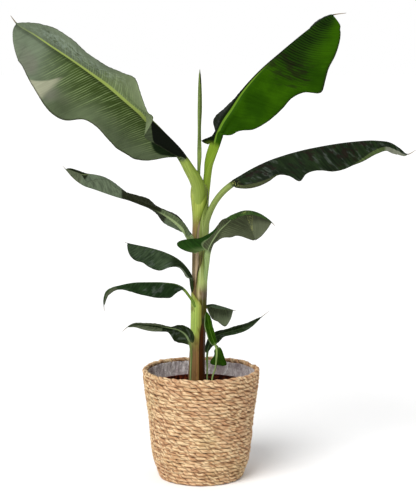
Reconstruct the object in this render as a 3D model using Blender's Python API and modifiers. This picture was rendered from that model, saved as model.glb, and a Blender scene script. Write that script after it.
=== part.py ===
"""A young banana plant in its nursery pot, standing in a lined basket of coiled rope.

Metres, +Z up. The origin is the centre of the basket's base, where it stands. +X is to the
right and +Y is away from someone who faces the plant. Lengths in the tables of leaves and
profiles are millimetres and are turned into metres when a mesh is made.
"""

import math
from dataclasses import dataclass

import bmesh
import bpy
import numpy as np
from mathutils import Vector, noise

MM = 0.001
GAP = 0.35  # millimetres between pieces that touch

# Basket, from its base up: height and outer radius at the crests of the rope
BASKET_HEIGHT = 221.0
ROPE_ROWS = 28
ROPE_DEPTH = 7.6  # the wall's thickness, one rope
GROOVE = 1.7  # how deep the groove between two rows is
BASKET_FLOOR = 8.0
BASKET_OUTLINE = [(0, 84), (10, 88), (22, 92), (35, 97), (60, 101), (85, 103.5), (110, 105.5),
                  (135, 108), (160, 112), (200, 117), (221, 118)]
TURN_STEPS = 32  # the same for every round piece, so that their facets nest

# Liner: a plastic film that hangs inside the basket
FILM = 0.8
LINER_TOP = 209.0
LINER_SLACK = 0.3  # between its wall and the basket's, beside the gap

# Nursery pot and soil
POT_WALL = 1.4
POT_RIM_HEIGHT = 187.0
POT_RIM_RADIUS = 101.0
POT_RIM_LIP = 2.6
POT_RIM_DEPTH = 8.0
POT_BASE_RADIUS = 73.0
POT_FOOT = (4.0, 2.0)  # height and inset of the bevel round its base
SOIL_TOP = 176.0
SOIL_LUMP = 4.0
SOIL_SLACK = 0.5  # between the soil and the pot's wall, beside the gap
SOIL_SHARES = (0.0, 0.2, 0.38, 0.56, 0.74, 0.9, 1.0)  # of its radius, for the rings on top
SOIL_FADE = 12.0  # how far from the pot's wall the lumps start
HOLE_DEPTH = 20.0  # how deep the stems stand in the soil

# Pseudostem: height, middle across, radius across, radius front to back
STEM = [(SOIL_TOP - HOLE_DEPTH + GAP, -9, 15.5, 15.5), (187, -9, 16.5, 16.5), (230, -8.3, 15.8, 15.8),
        (280, -6.5, 15, 15.2), (320, -5.3, 15, 15.2), (355, -4.3, 15.4, 15.2), (400, -3, 15, 15),
        (430, -2.3, 15.3, 15.3), (482, -1, 16, 16), (520, 0, 16.2, 16), (548, -1.5, 16.5, 15.5),
        (570, -3, 17.5, 15), (588, -4, 16.5, 13), (600, -3, 12, 10.5), (612, -2.5, 7.5, 8)]
STEM_SIDES = 18
STEM_RINGS = 18
SHEATH_STEP = 0.9  # how proud the edge of a sheath stands
SHEATH_RISE = 95.0  # how far up the stem one edge winds in half a turn
STEM_HOLE_TOP = 240.0  # above the soil's lumps

# Leaves
BLADE = 0.9  # thickness of a blade
SOCKET_RINGS = 3  # sections of a blade that its cutter goes on for after the stalk
TOWARDS_VIEWER = np.array([0.0, -1.0, 0.0])


@dataclass
class Leaf:
    """A leaf from the root of its stalk to its tip.

    route: points along the stalk and the midrib. blade: which of them the blade starts and
    ends at. radii: of the stalk at its root, of the stalk at the blade, of the rib at the tip.
    rows: share along the blade, then for the upper half and the lower half its width, its lean
    at the rib and its lean at the edge. A lean of 0 lies in the picture's plane, 90 points at
    the viewer, -90 points away, and 180 is folded over. lobes: how far the base of each half
    reaches back beside the stalk. swept: how far the edge of each half is carried towards the
    tip. blunt: how square the blade's base and tip are. ripple: height and number of the waves
    along the edges. across, along, stalk: how many points and sections its mesh has.
    """

    name: str
    route: list
    blade: tuple
    radii: tuple
    rows: list
    goes_left: bool
    underside_shows: bool
    lobes: tuple = (8.0, 8.0)
    swept: tuple = (0.0, 0.0)
    blunt: tuple = (2.4, 2.4)
    ripple: tuple = (1.5, 3.0)
    colour: tuple = (0.07, 0.13, 0.04)
    across: int = 4
    along: int = 20
    stalk: int = 6


LEAVES = [
    Leaf("leaf_upper_left",
         route=[(-3, -7, 529), (-4, -8, 551), (-6, -11, 575), (-11, -16, 599), (-20, -22, 621),
                (-33, -31, 647), (-69, -50, 691), (-107, -68, 729), (-143, -88, 761),
                (-175, -104, 789), (-210, -124, 816), (-243, -142, 840), (-277, -158, 863),
                (-307, -170, 884), (-337, -180, 904), (-347, -186, 918)],
         blade=(5, 14), radii=(12.8, 12, 1.5), goes_left=True, underside_shows=True,
         rows=[(0, 40, 165, 150, 40, 0, 0), (0.05, 45, 161, 128, 68, 0, 0),
               (0.1, 53, 155, 112, 99, 1, 0), (0.15, 61, 147, 111, 108, 3, 0),
               (0.2, 66, 140, 115, 102, 4, 0), (0.26, 74, 128, 110, 97, 6, 5),
               (0.31, 84, 88, 82, 90, 8, 23), (0.36, 92, 86, 80, 86, 8, 31),
               (0.43, 94, 74, 72, 79, 8, 26), (0.5, 97, 63, 63, 81, 7, 13),
               (0.57, 98, 66, 68, 102, 6, 4), (0.65, 96, 71, 73, 107, 6, 7),
               (0.73, 90, 71, 70, 102, 7, 12), (0.81, 81, 61, 59, 91, 8, 14),
               (0.88, 75, 56, 54, 82, 8, 14), (0.95, 72, 63, 61, 86, 8, 14),
               (1, 70, 60, 58, 61, 8, 14)],
         lobes=(10, 16), blunt=(2.2, 3.0), ripple=(1.5, 4.0), colour=(0.13, 0.18, 0.09), along=24),
    Leaf("leaf_upper_right",
         route=[(5, 9, 549), (6, 10, 567), (8, 10, 587), (10, 12, 607), (14, 16, 631),
                (19, 18, 646), (28, 22, 670), (37, 28, 693), (48, 36, 715), (61, 44, 734),
                (85, 60, 770), (118, 80, 808), (166, 106, 851), (222, 134, 897), (249, 146, 917),
                (270, 153, 926), (298, 160, 930)],
         blade=(6, 15), radii=(10.4, 10.6, 1.4), goes_left=False, underside_shows=False,
         rows=[(0, 64, -15, -10, 4, 0, 0), (0.025, 60, -42, -38, 4, 0, 0),
               (0.05, 60, -86, -86, 4, 0, 0), (0.08, 64, -97, -97, 30, 0, 0),
               (0.11, 64, -93, -93, 37, 0, 0), (0.145, 65, -79, -79, 46, 0, 0),
               (0.18, 66, -75, -76, 59, 0, 0), (0.25, 70, -80, -84, 74, 0, 0),
               (0.32, 74, -88, -92, 80, 0, 0), (0.392, 74, -92, -96, 83, 0, 0),
               (0.466, 79, -99, -103, 83, 0, -1), (0.539, 82, -100, -104, 92, 0, 3),
               (0.604, 85, -100, -104, 114, 0, 5), (0.65, 86, -100, -104, 103, 0, 5),
               (0.705, 85, -100, -104, 88, 0, 5), (0.77, 81, -99, -103, 78, 0, 5),
               (0.834, 76, -98, -102, 67, 0, 5), (0.899, 71, -92, -96, 54, 0, 5),
               (0.954, 67, -88, -92, 46, 0, 5), (1, 64, -86, -90, 55, 0, 5)],
         lobes=(16, 6), swept=(4, 30), blunt=(6.0, 6.5), ripple=(2.0, 3.5),
         colour=(0.06, 0.16, 0.02), along=24),
    Leaf("leaf_right_long",
         route=[(5, -8, 497), (9, -10, 520), (17, -12, 542), (26, -13, 559), (41, -13, 578),
                (60, -12, 594), (93, -10, 616), (136, -4, 637), (196, 6, 655), (256, 16, 667),
                (302, 24, 673), (349, 31, 675), (380, 38, 670), (398, 42, 659), (413, 44, 648),
                (431, 48, 656)],
         blade=(5, 14), radii=(9.8, 7.8, 1.2), goes_left=False, underside_shows=False,
         rows=[(0, 40, -125, -150, 57, 20, 20), (0.06, 47, -143, -154, 62, 20, 16),
               (0.12, 51, -153, -156, 60, 21, 15), (0.18, 51, -151, -156, 52, 24, 18),
               (0.24, 50, -147, -154, 42, 25, 20), (0.3, 50, -140, -150, 49, 25, 20),
               (0.345, 52, -132, -142, 63, 25, 15), (0.39, 52, -127, -137, 51, 25, 17),
               (0.43, 52, -125, -135, 48, 26, 20), (0.48, 54, -125, -135, 50, 30, 20),
               (0.54, 56, -125, -135, 56, 27, 20), (0.6, 56, -125, -135, 56, 25, 20),
               (0.66, 54, -125, -135, 51, 25, 20), (0.73, 49, -119, -129, 45, 25, 20),
               (0.8, 44, -110, -120, 35, 25, 20), (0.86, 37, -101, -111, 27, 25, 20),
               (0.93, 32, -95, -105, 31, 23, 18), (1, 28, -90, -100, 27, 20, 15)],
         lobes=(14, 8), blunt=(2.2, 2.4), ripple=(1.5, 4.5), colour=(0.04, 0.07, 0.035), along=26),
    Leaf("leaf_left_long",
         route=[(-8, -8, 461), (-14, -14, 476), (-24, -21, 494), (-38, -28, 513), (-60, -37, 532),
                (-79, -45, 544), (-103, -54, 555), (-120, -62, 562), (-137, -70, 569),
                (-160, -80, 576), (-182, -90, 584), (-203, -98, 592), (-224, -106, 600),
                (-242, -112, 614), (-256, -118, 631), (-262, -120, 638)],
         blade=(2, 14), radii=(8, 8.4, 1), goes_left=True, underside_shows=True,
         rows=[(0, 24, 72, 70, 22, -30, -40), (0.08, 28, 69, 68, 42, -40, -46),
               (0.16, 36, 69, 69, 46, -50, -54), (0.25, 36, 72, 72, 32, -62, -66),
               (0.34, 27, 66, 67, 36, -75, -80), (0.43, 30, 58, 60, 36, -90, -95),
               (0.52, 26, 54, 53, 36, -104, -112), (0.6, 23, 39, 45, 36, -121, -131),
               (0.66, 23, 27, 37, 36, -134, -144), (0.71, 32, 21, 31, 36, -141, -151),
               (0.77, 29, 21, 30, 35, -144, -152), (0.84, 17, 22, 28, 34, -146, -153),
               (0.92, 30, 22, 23, 34, -148, -156), (1, 22, 20, 20, 32, -150, -158)],
         lobes=(8, 6), blunt=(2.2, 2.4), ripple=(1.5, 4.0), colour=(0.09, 0.13, 0.07), along=24),
    Leaf("leaf_right_folded",
         route=[(7, -8, 411), (11, -15, 438), (15, -30, 464), (23, -38, 484), (34, -47, 503),
                (50, -60, 521), (65, -74, 536), (81, -90, 547), (98, -104, 549), (114, -116, 545),
                (125, -125, 539), (135, -131, 531), (141, -135, 525)],
         blade=(2, 11), radii=(7.2, 5.8, 0.9), goes_left=False, underside_shows=True,
         rows=[(0, 104, 20, 30, 4, 30, 30), (0.04, 108, 15, 25, 4, 25, 25),
               (0.08, 78, 15, 25, 5, 20, 20), (0.12, 36, 17, 24, 8, 17, 17),
               (0.17, 18, 26, 30, 11, 14, 14), (0.22, 10, 30, 35, 16, 10, 10),
               (0.29, 9, 30, 40, 26, 5, 5), (0.36, 13, 35, 50, 33, 0, 5),
               (0.44, 19, 35, 80, 60, 0, 5), (0.52, 25, 45, 125, 57, 0, 5),
               (0.6, 27, 70, 140, 57, 2, 7), (0.68, 26, 85, 140, 55, 5, 10),
               (0.76, 24, 95, 132, 56, 5, 10), (0.84, 21, 103, 116, 56, 5, 10),
               (0.92, 20, 98, 108, 61, 5, 10), (1, 18, 90, 100, 66, 5, 10)],
         lobes=(25, 3), swept=(0, 20), blunt=(5.0, 3.6), ripple=(1.2, 2.5),
         colour=(0.05, 0.08, 0.035), along=22),
    Leaf("leaf_left_short",
         route=[(-7, -4, 366), (-13, -11, 388), (-19, -16, 408), (-29, -20, 427), (-46, -24, 444),
                (-71, -27, 458), (-100, -31, 468), (-124, -34, 474), (-144, -37, 479),
                (-150, -38, 481)],
         blade=(2, 8), radii=(7.2, 6.6, 0.9), goes_left=True, underside_shows=False,
         rows=[(0, 30, -160, -165, 42, 30, 30), (0.12, 24, -150, -155, 21, 30, 30),
               (0.22, 26, -130, -135, 16, 30, 30), (0.34, 32, -125, -130, 24, 30, 25),
               (0.46, 38, -125, -130, 38, 30, 20), (0.56, 40, -125, -130, 41, 30, 20),
               (0.66, 38, -125, -130, 39, 30, 20), (0.76, 36, -125, -130, 34, 30, 20),
               (0.86, 36, -125, -130, 36, 30, 20), (0.94, 35, -125, -130, 36, 30, 20),
               (1, 34, -125, -130, 32, 30, 20)],
         lobes=(14, 0), blunt=(2.0, 5.0), ripple=(1.2, 3.0), colour=(0.045, 0.07, 0.04),
         across=3, along=17, stalk=4),
    Leaf("leaf_left_drooping",
         route=[(-6, -8, 336), (-14, -14, 356), (-23, -18, 371), (-34, -22, 385), (-47, -25, 393),
                (-71, -30, 398), (-103, -36, 400), (-136, -42, 400), (-159, -46, 396),
                (-176, -48, 391), (-186, -50, 382), (-190, -50, 370), (-191, -50, 358),
                (-190, -49, 345)],
         blade=(3, 12), radii=(5.6, 5, 0.9), goes_left=True, underside_shows=False,
         rows=[(0, 24, -120, -130, 4, 30, 30), (0.07, 28, -124, -134, 29, 30, 26),
               (0.14, 30, -129, -139, 39, 30, 21), (0.22, 30, -130, -140, 37, 30, 19),
               (0.32, 29, -130, -140, 34, 30, 21), (0.42, 27, -130, -140, 29, 33, 26),
               (0.52, 24, -130, -140, 26, 38, 35), (0.62, 18, -130, -140, 21, 45, 45),
               (0.72, 12, -120, -130, 12, 55, 55), (0.85, 10, -70, -80, 17, 60, 60),
               (1, 9, -60, -60, 22, 60, 60)],
         lobes=(8, 4), blunt=(2.4, 2.0), ripple=(1.0, 3.0), colour=(0.04, 0.065, 0.035),
         across=3, along=20, stalk=4),
    Leaf("leaf_right_behind",
         route=[(-3, 6, 322), (3, 15, 334), (11, 22, 342), (21, 23, 345), (36, 16, 344),
                (51, 5, 342), (64, -7, 340), (70, -11, 339)],
         blade=(2, 6), radii=(3.6, 3.6, 0.9), goes_left=False, underside_shows=True,
         rows=[(0, 22, 100, 100, 58, 0, 0), (0.2, 25, 98, 96, 37, 0, 4),
               (0.4, 27, 96, 93, 32, 0, 5), (0.6, 28, 95, 92, 36, 0, 5),
               (0.8, 28, 95, 92, 38, 0, 5), (1, 26, 95, 92, 32, 0, 5)],
         lobes=(4, 4), blunt=(2.4, 6.0), ripple=(0.8, 2.0), colour=(0.08, 0.11, 0.06),
         across=3, along=12, stalk=3),
    Leaf("sucker_leaf_left",
         route=[(-21, -34, 156), (-20, -34, 220), (-19, -36, 259), (-23, -38, 281), (-30, -41, 296),
                (-42, -45, 306), (-61, -50, 312), (-86, -55, 316), (-112, -60, 320),
                (-131, -63, 321), (-143, -65, 317), (-154, -67, 308)],
         blade=(3, 10), radii=(2.6, 2.4, 0.8), goes_left=True, underside_shows=False,
         rows=[(0, 22, 10, 10, 4, 10, 10), (0.1, 22, 20, 20, 25, 10, 9),
               (0.2, 21, 36, 36, 26, 8, 16), (0.3, 17, 50, 50, 24, 22, 27),
               (0.4, 16, 73, 73, 10, 32, 31), (0.5, 16, 69, 69, 10, 30, 30),
               (0.65, 15, 63, 63, 12, 30, 30), (0.8, 13, 61, 61, 11, 30, 30),
               (1, 12, 70, 70, 8, 30, 30)],
         lobes=(10, 16), blunt=(3.0, 2.4), ripple=(0.8, 3.0), colour=(0.05, 0.09, 0.03),
         across=3, along=16, stalk=4),
    Leaf("sucker_leaf_right",
         route=[(12, -14, 156), (12, -14, 226), (13, -14, 256), (17, -14, 273), (24, -14, 284),
                (36, -12, 291), (58, -9, 297), (84, -5, 304), (104, -2, 313), (120, 0, 324),
                (136, 3, 336)],
         blade=(2, 9), radii=(2.3, 2.2, 0.8), goes_left=False, underside_shows=False,
         rows=[(0, 14, 30, 30, 4, 20, 20), (0.12, 13, 47, 47, 11, 18, 18),
               (0.25, 13, 44, 44, 16, 37, 37), (0.4, 13, 49, 49, 8, 47, 47),
               (0.55, 13, 47, 47, 10, 45, 45), (0.75, 12, 43, 43, 9, 45, 45),
               (1, 10, 55, 55, 4, 45, 45)],
         lobes=(6, 4), blunt=(2.6, 2.2), ripple=(0.6, 3.0), colour=(0.04, 0.08, 0.03),
         across=3, along=15, stalk=4),
    Leaf("sucker_front",
         route=[(22, -36, 156), (24, -36, 212), (29, -36, 228), (31, -36, 247), (31, -36, 265),
                (28, -37, 276), (22, -38, 292), (17, -38, 310), (14, -37, 328), (11, -35, 341),
                (10, -34, 349)],
         blade=(5, 9), radii=(2.4, 2, 0.8), goes_left=True, underside_shows=False,
         rows=[(0.00, 12, 40, 40, 12, 30, 30), (0.30, 11, 50, 50, 11, 40, 40),
               (0.70, 11, 50, 50, 11, 40, 40), (1.00, 9, 50, 50, 9, 40, 40)],
         lobes=(2, 6), blunt=(2.6, 2.4), ripple=(0.5, 2.0), colour=(0.10, 0.24, 0.02),
         across=2, along=10, stalk=5),
    Leaf("sucker_front_lower_leaf",
         route=[(28, -37, 274), (30, -35, 275), (34, -33, 269), (36, -31, 260), (36, -29, 250),
                (35, -27, 240), (34, -26, 231)],
         blade=(2, 6), radii=(1.4, 1.6, 0.8), goes_left=False, underside_shows=False,
         rows=[(0.00, 10, 30, 30, 16, 20, 20), (0.35, 9, 20, 20, 10, 10, 10),
               (0.70, 15, 10, 10, 15, 10, 10), (1.00, 21, 10, 10, 21, 10, 10)],
         lobes=(3, 3), blunt=(2.2, 6.0), ripple=(0.5, 2.0), colour=(0.05, 0.10, 0.03),
         across=2, along=8, stalk=3),
    Leaf("spear_leaf",
         route=[(-3, 9, 549), (-3, 8, 580), (-3, 6, 659), (-3, 4, 703), (-2, 2, 750), (-2, 0, 789),
                (-2, -1, 814), (-2, -1, 818)],
         blade=(2, 6), radii=(4.2, 4.4, 0.9), goes_left=True, underside_shows=False,
         rows=[(0.0, 3, 0, 0, 3, 0, 0), (0.6, 4, 0, 0, 4, 0, 0), (1.0, 4, 0, 0, 4, 0, 0)],
         lobes=(0, 0), ripple=(0, 1), colour=(0.20, 0.25, 0.07), across=2, along=10, stalk=4),
]


def clear_scene():
    for obj in list(bpy.data.objects):
        bpy.data.objects.remove(obj, do_unlink=True)


def new_collection(name, parent=None):
    collection = bpy.data.collections.new(name)
    (parent or bpy.context.scene.collection).children.link(collection)
    return collection


def material(name, colour, roughness=0.6, metallic=0.0):
    made = bpy.data.materials.new(name)
    made.use_nodes = True
    shader = made.node_tree.nodes["Principled BSDF"]
    shader.inputs["Base Color"].default_value = (*colour, 1.0)
    shader.inputs["Roughness"].default_value = roughness
    shader.inputs["Metallic"].default_value = metallic
    return made


def smooth(keys, values, at):
    """Values at `at` on a smooth curve through the values that the keys have."""
    keys, values, at = np.asarray(keys, float), np.asarray(values, float), np.asarray(at, float)
    slopes = np.gradient(values, keys, axis=0)
    left = np.clip(np.searchsorted(keys, at) - 1, 0, len(keys) - 2)
    span = keys[left + 1] - keys[left]
    t = ((at - keys[left]) / span).reshape((-1,) + (1,) * (values.ndim - 1))
    span = span.reshape(t.shape)
    return ((2 * t**3 - 3 * t**2 + 1) * values[left] + (t**3 - 2 * t**2 + t) * span * slopes[left]
            + (3 * t**2 - 2 * t**3) * values[left + 1] + (t**3 - t**2) * span * slopes[left + 1])


def unit(vectors):
    return vectors / np.linalg.norm(vectors, axis=-1, keepdims=True)


def ease(x):
    x = np.clip(x, 0.0, 1.0)
    return x * x * (3 - 2 * x)


def along_route(leaf):
    """Where each route point lies along the leaf, in millimetres from the root."""
    points = np.array(leaf.route, float)
    return np.concatenate([[0.0], np.cumsum(np.linalg.norm(np.diff(points, axis=0), axis=1))])


def blade_outline(share, blunt):
    """The blade's width as a share of its full width, rounded off at the base and the tip."""
    base = 1 - np.clip(share / 0.5, 0, 1)
    tip = np.clip((share - 0.5) / 0.5, 0, 1)
    return np.sqrt(np.clip((1 - base ** blunt[0]) * (1 - tip ** blunt[1]), 0, 1))


def stations(leaf):
    """Distances from the root at which the leaf has a section."""
    lengths = along_route(leaf)
    start, end = lengths[leaf.blade[0]], lengths[leaf.blade[1]]
    even = np.linspace(0, 1, leaf.along + 1)
    closer_at_ends = 0.5 - 0.5 * np.cos(np.pi * even)
    blade = start + (end - start) * (0.5 * even + 0.5 * closer_at_ends)
    stalk = np.linspace(0, start, leaf.stalk + 1)[:-1]
    return np.concatenate([stalk, blade, [lengths[-1]]])


def half(leaf, rib, wing, lean, edge_lean, sign, side_way, frame, wave):
    """The middle of the sheet and its normal, from the rib outwards, for one half."""
    upward, viewer = frame
    turn = np.radians(edge_lean - lean)
    points, normals = [], []
    for step in range(1, leaf.across + 1):
        t = (step - 1) / (leaf.across - 1)
        chord = np.radians(lean) + turn * t / 2
        reach = (wing * t * np.sinc(turn * t / (2 * np.pi)))[:, None]
        way = sign * np.cos(chord)[:, None] * upward + np.sin(chord)[:, None] * viewer
        here = np.radians(lean) + turn * t
        normal = -sign * np.sin(here)[:, None] * upward + np.cos(here)[:, None] * viewer
        points.append(side_way * rib[:, None] + way * reach + normal * (wave * t * t)[:, None])
        normals.append(normal)
    return points, normals


def leaf_rings(leaf, grow=0.0):
    """Closed sections of a leaf, in millimetres: one ring of points for each station."""
    lengths, at = along_route(leaf), stations(leaf)
    start, end = lengths[leaf.blade[0]], lengths[leaf.blade[1]]
    middle = smooth(lengths, leaf.route, at)
    way = unit(smooth(lengths, leaf.route, at + 0.5) - smooth(lengths, leaf.route, at - 0.5))
    hand = 1 if leaf.goes_left else -1
    viewer = unit(TOWARDS_VIEWER - (way @ TOWARDS_VIEWER)[:, None] * way)
    upward = hand * np.cross(way, viewer)

    share = np.clip((at - start) / (end - start), 0, 1)
    stalk_share = np.clip(at / start, 0, 1)
    root, base, tip = leaf.radii
    rib = np.where(at < start, root + (base - root) * stalk_share,
                   tip + (base - tip) * (1 - share) ** 1.6) + grow
    rows = np.array(leaf.rows, float)
    values = smooth(rows[:, 0], rows[:, 1:], share)
    stalk_turn = 90.0 if leaf.underside_shows else -90.0
    turned = ease((stalk_share - 0.55) / 0.45)
    outline = np.where(at < start, 0.0, blade_outline(share, leaf.blunt))
    wave = leaf.ripple[0] * np.sin(2 * np.pi * leaf.ripple[1] * share) * outline
    halves = []
    for column, sign in ((0, 1), (3, -1)):
        width = values[:, column] * outline
        lean = sign * stalk_turn * (1 - turned) + values[:, column + 1] * turned
        edge_lean = sign * stalk_turn * (1 - turned) + values[:, column + 2] * turned
        halves.append((width, lean, edge_lean, sign, wave * sign))
    turn = np.radians(halves[0][1] - halves[1][1]) / 2
    side_way = np.cos(turn)[:, None] * upward + np.sin(turn)[:, None] * viewer
    face_way = -np.sin(turn)[:, None] * upward + np.cos(turn)[:, None] * viewer

    under, over = (1.0, 0.45) if leaf.underside_shows else (0.45, 1.0)
    sheets = []
    for (width, lean, edge_lean, sign, wave_here), lobe, swept in zip(halves, leaf.lobes,
                                                                      leaf.swept):
        full = np.sqrt(rib**2 + width**2)
        bladed = ease((full / rib - 1) / 1.2)[:, None]
        points, normals = half(leaf, rib, full - rib, lean, edge_lean, sign, sign * side_way,
                               (upward, viewer), wave_here)
        sheet = []
        for step, (point, normal) in enumerate(zip(points, normals), 1):
            round_off = math.pi / 2 * step / leaf.across
            round_point = sign * side_way * (rib * math.sin(round_off))[:, None]
            place = round_point * (1 - bladed) + point * bladed
            t = (step - 1) / (leaf.across - 1)
            back = (lobe * np.clip(1 - share / 0.25, 0, 1) ** 2 * outline ** 0.5
                    - swept * ease((share - 0.3) / 0.5) * outline)
            place = place - way * (back * t * t)[:, None]
            facing = unit(face_way * (1 - bladed) + normal * bladed)
            thick = (rib * math.cos(round_off))[:, None] * (1 - bladed)
            sheet.append((place, facing, np.maximum(thick, BLADE / 2 + grow)))
        sheets.append(sheet)

    row = sheets[1][::-1] + [(0 * middle, face_way, rib[:, None])] + sheets[0]
    count = len(row)
    viewer_side, far_side = [], []
    for index, (place, facing, thick) in enumerate(row):
        inner = abs(index - count // 2)
        flat = BLADE / 2 + grow
        if inner == 0:
            near, far = thick * under, thick * over
        else:
            near = np.maximum(thick * under, flat)
            far = np.maximum(thick * over, flat)
        viewer_side.append(middle + place + facing * near)
        far_side.append(middle + place - facing * far)
    return np.stack(viewer_side + far_side[::-1], axis=1)


def loft(name, rings, paired):
    """A closed mesh through rings of points. With `paired`, the second half of each ring runs
    back along the first, and both are split into the same triangles."""
    mesh = bpy.data.meshes.new(name)
    shape = bmesh.new()
    grid = [[shape.verts.new(Vector(p) * MM) for p in ring] for ring in rings]
    size = len(grid[0])
    for ring, following in zip(grid, grid[1:]):
        for i in range(size):
            a, b, c, d = ring[i], ring[(i + 1) % size], following[(i + 1) % size], following[i]
            if paired and i >= size // 2:
                shape.faces.new((a, b, d))
                shape.faces.new((b, c, d))
            else:
                shape.faces.new((a, b, c))
                shape.faces.new((a, c, d))
    for ring in (grid[0], grid[-1]):
        if paired:
            for i in range(size // 2 - 1):
                shape.faces.new((ring[i], ring[i + 1], ring[size - 2 - i], ring[size - 1 - i]))
        else:
            shape.faces.new(ring)
    bmesh.ops.recalc_face_normals(shape, faces=shape.faces)
    shape.to_mesh(mesh)
    shape.free()
    return mesh


def add_object(name, mesh, collection, paint):
    obj = bpy.data.objects.new(name, mesh)
    collection.objects.link(obj)
    if paint:
        mesh.materials.append(paint)
    mesh.shade_smooth()
    return obj


def add_turned(name, profile, collection, paint):
    """A turned piece: a profile of (radius, height) in millimetres with a Screw modifier."""
    mesh = bpy.data.meshes.new(name)
    points = [(radius * MM, 0.0, height * MM) for radius, height in profile]
    mesh.from_pydata(points, [(i, i + 1) for i in range(len(points) - 1)], [])
    obj = bpy.data.objects.new(name, mesh)
    collection.objects.link(obj)
    screw = obj.modifiers.new("turn", "SCREW")
    screw.steps = screw.render_steps = TURN_STEPS
    screw.use_merge_vertices = True
    screw.merge_threshold = 0.00005
    screw.use_smooth_shade = True
    mesh.materials.append(paint)
    return obj


def applied(obj):
    """The object's mesh as its modifiers leave it, put on the object in their place."""
    graph = bpy.context.evaluated_depsgraph_get()
    made = bpy.data.meshes.new_from_object(obj.evaluated_get(graph), depsgraph=graph)
    obj.modifiers.clear()
    obj.data = made
    return obj


def basket_radius(height):
    heights, radii = zip(*BASKET_OUTLINE)
    return float(np.interp(height, heights, radii))


def add_basket(collection):
    pitch = BASKET_HEIGHT / ROPE_ROWS
    lip = BASKET_HEIGHT - pitch / 2
    inside = [(0.0, BASKET_FLOOR)]
    for height in (BASKET_FLOOR, 60.0, 110.0, 160.0, lip):
        inside.append((basket_radius(height) - ROPE_DEPTH, height))
    outside = [(basket_radius(BASKET_HEIGHT) - ROPE_DEPTH / 2, BASKET_HEIGHT)]
    for row in reversed(range(ROPE_ROWS)):
        crest = (row + 0.5) * pitch
        outside.append((basket_radius(crest), crest))
        foot = row * pitch
        outside.append((basket_radius(foot) - GROOVE, foot))
    paint = material("rope", (0.56, 0.35, 0.19), 0.85)
    return add_turned("basket", inside + outside + [(0.0, 0.0)], collection, paint)


def liner_outer(height):
    return basket_radius(height) - ROPE_DEPTH - GAP - LINER_SLACK


def add_liner(collection):
    floor = BASKET_FLOOR + GAP
    inside = [(0.0, floor + FILM)]
    outside = []
    for height in (floor, 60.0, 110.0, 160.0, LINER_TOP):
        low = height + FILM if height == floor else height
        inside.append((liner_outer(height) - FILM, low))
        outside.append((liner_outer(height), height))
    paint = material("plastic_film", (0.35, 0.34, 0.34), 0.35)
    profile = inside + outside[::-1] + [(0.0, floor)]
    return add_turned("liner", profile, collection, paint)


def pot_radius(height):
    """Outer radius of the nursery pot's wall."""
    base = BASKET_FLOOR + 2 * GAP + FILM
    share = (height - base) / (POT_RIM_HEIGHT - base)
    return POT_BASE_RADIUS + (POT_RIM_RADIUS - POT_RIM_LIP - POT_BASE_RADIUS) * share


def add_nursery_pot(collection):
    base = BASKET_FLOOR + 2 * GAP + FILM
    top = POT_RIM_HEIGHT
    under_rim = top - POT_RIM_DEPTH - 0.5
    bevel, inset = POT_FOOT
    profile = [(0.0, base + POT_WALL), (pot_radius(base) - POT_WALL, base + POT_WALL),
               (pot_radius(top) - POT_WALL, top), (POT_RIM_RADIUS, top),
               (POT_RIM_RADIUS, top - POT_RIM_DEPTH), (pot_radius(under_rim), under_rim),
               (pot_radius(base + bevel), base + bevel), (pot_radius(base) - inset, base),
               (0.0, base)]
    paint = material("pot_plastic", (0.20, 0.06, 0.03), 0.5)
    return add_turned("nursery_pot", profile, collection, paint)


def soil_lump(x, y):
    """How far the top of the soil rises or sinks at a place, in millimetres."""
    away = Vector((x / 19.0, y / 19.0, 0.4))
    return SOIL_LUMP * noise.noise(away) + 0.5 * SOIL_LUMP * noise.noise(away * 2.3)


def add_soil(collection):
    base = BASKET_FLOOR + 3 * GAP + FILM + POT_WALL
    edge = pot_radius(SOIL_TOP) - POT_WALL - GAP - SOIL_SLACK
    foot = pot_radius(base) - POT_WALL - GAP - SOIL_SLACK
    profile = [(edge * share, SOIL_TOP) for share in SOIL_SHARES] + [(foot, base), (0.0, base)]
    soil = applied(add_turned("soil", profile, collection,
                              material("soil", (0.06, 0.02, 0.01), 0.95)))
    for vertex in soil.data.vertices:
        x, y, z = np.array(vertex.co) / MM
        if z > SOIL_TOP - 1:
            fade = ease((edge - math.hypot(x, y)) / SOIL_FADE)
            vertex.co.z += float(soil_lump(x, y) * fade) * MM
    return soil


def stem_rings(grow=0.0, highest=None):
    """Rings of the pseudostem; each sheath's edge winds up it as a low step."""
    table = np.array(STEM, float)
    top = highest or table[-1, 0]
    rings = []
    for z in np.linspace(table[0, 0] - grow, top, STEM_RINGS):
        middle, wide, deep = smooth(table[:, 0], table[:, 1:], [z])[0]
        ring = []
        for side in range(STEM_SIDES):
            angle = 2 * math.pi * side / STEM_SIDES
            wound = (angle / math.pi + z / SHEATH_RISE) % 1.0
            step = SHEATH_STEP * (wound - 0.5) if z > table[1, 0] else 0.0
            ring.append((middle + (wide + grow + step) * math.cos(angle),
                         (deep + grow + step) * math.sin(angle), z))
        rings.append(ring)
    return rings


def add_cutter(name, mesh, collection):
    cutter = bpy.data.objects.new(name, mesh)
    cutter.hide_render = True
    cutter.display_type = "WIRE"
    collection.objects.link(cutter)
    return cutter


def cut(obj, cutters, operation="DIFFERENCE"):
    boolean = obj.modifiers.new("sockets", "BOOLEAN")
    boolean.operand_type = "COLLECTION"
    boolean.collection = cutters
    boolean.operation = operation
    boolean.solver = "EXACT"


def stalk_cutter(leaf):
    """The stalk's own shape, grown by the gap, as far as the blade."""
    rings = leaf_rings(leaf, grow=GAP)
    root = np.array(leaf.route[0], float)
    direction = unit(np.array(leaf.route[1], float) - root)
    rings = rings[:leaf.stalk + SOCKET_RINGS]
    rings[0] -= direction * GAP
    return loft(leaf.name + "_socket", rings, paired=True)


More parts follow.
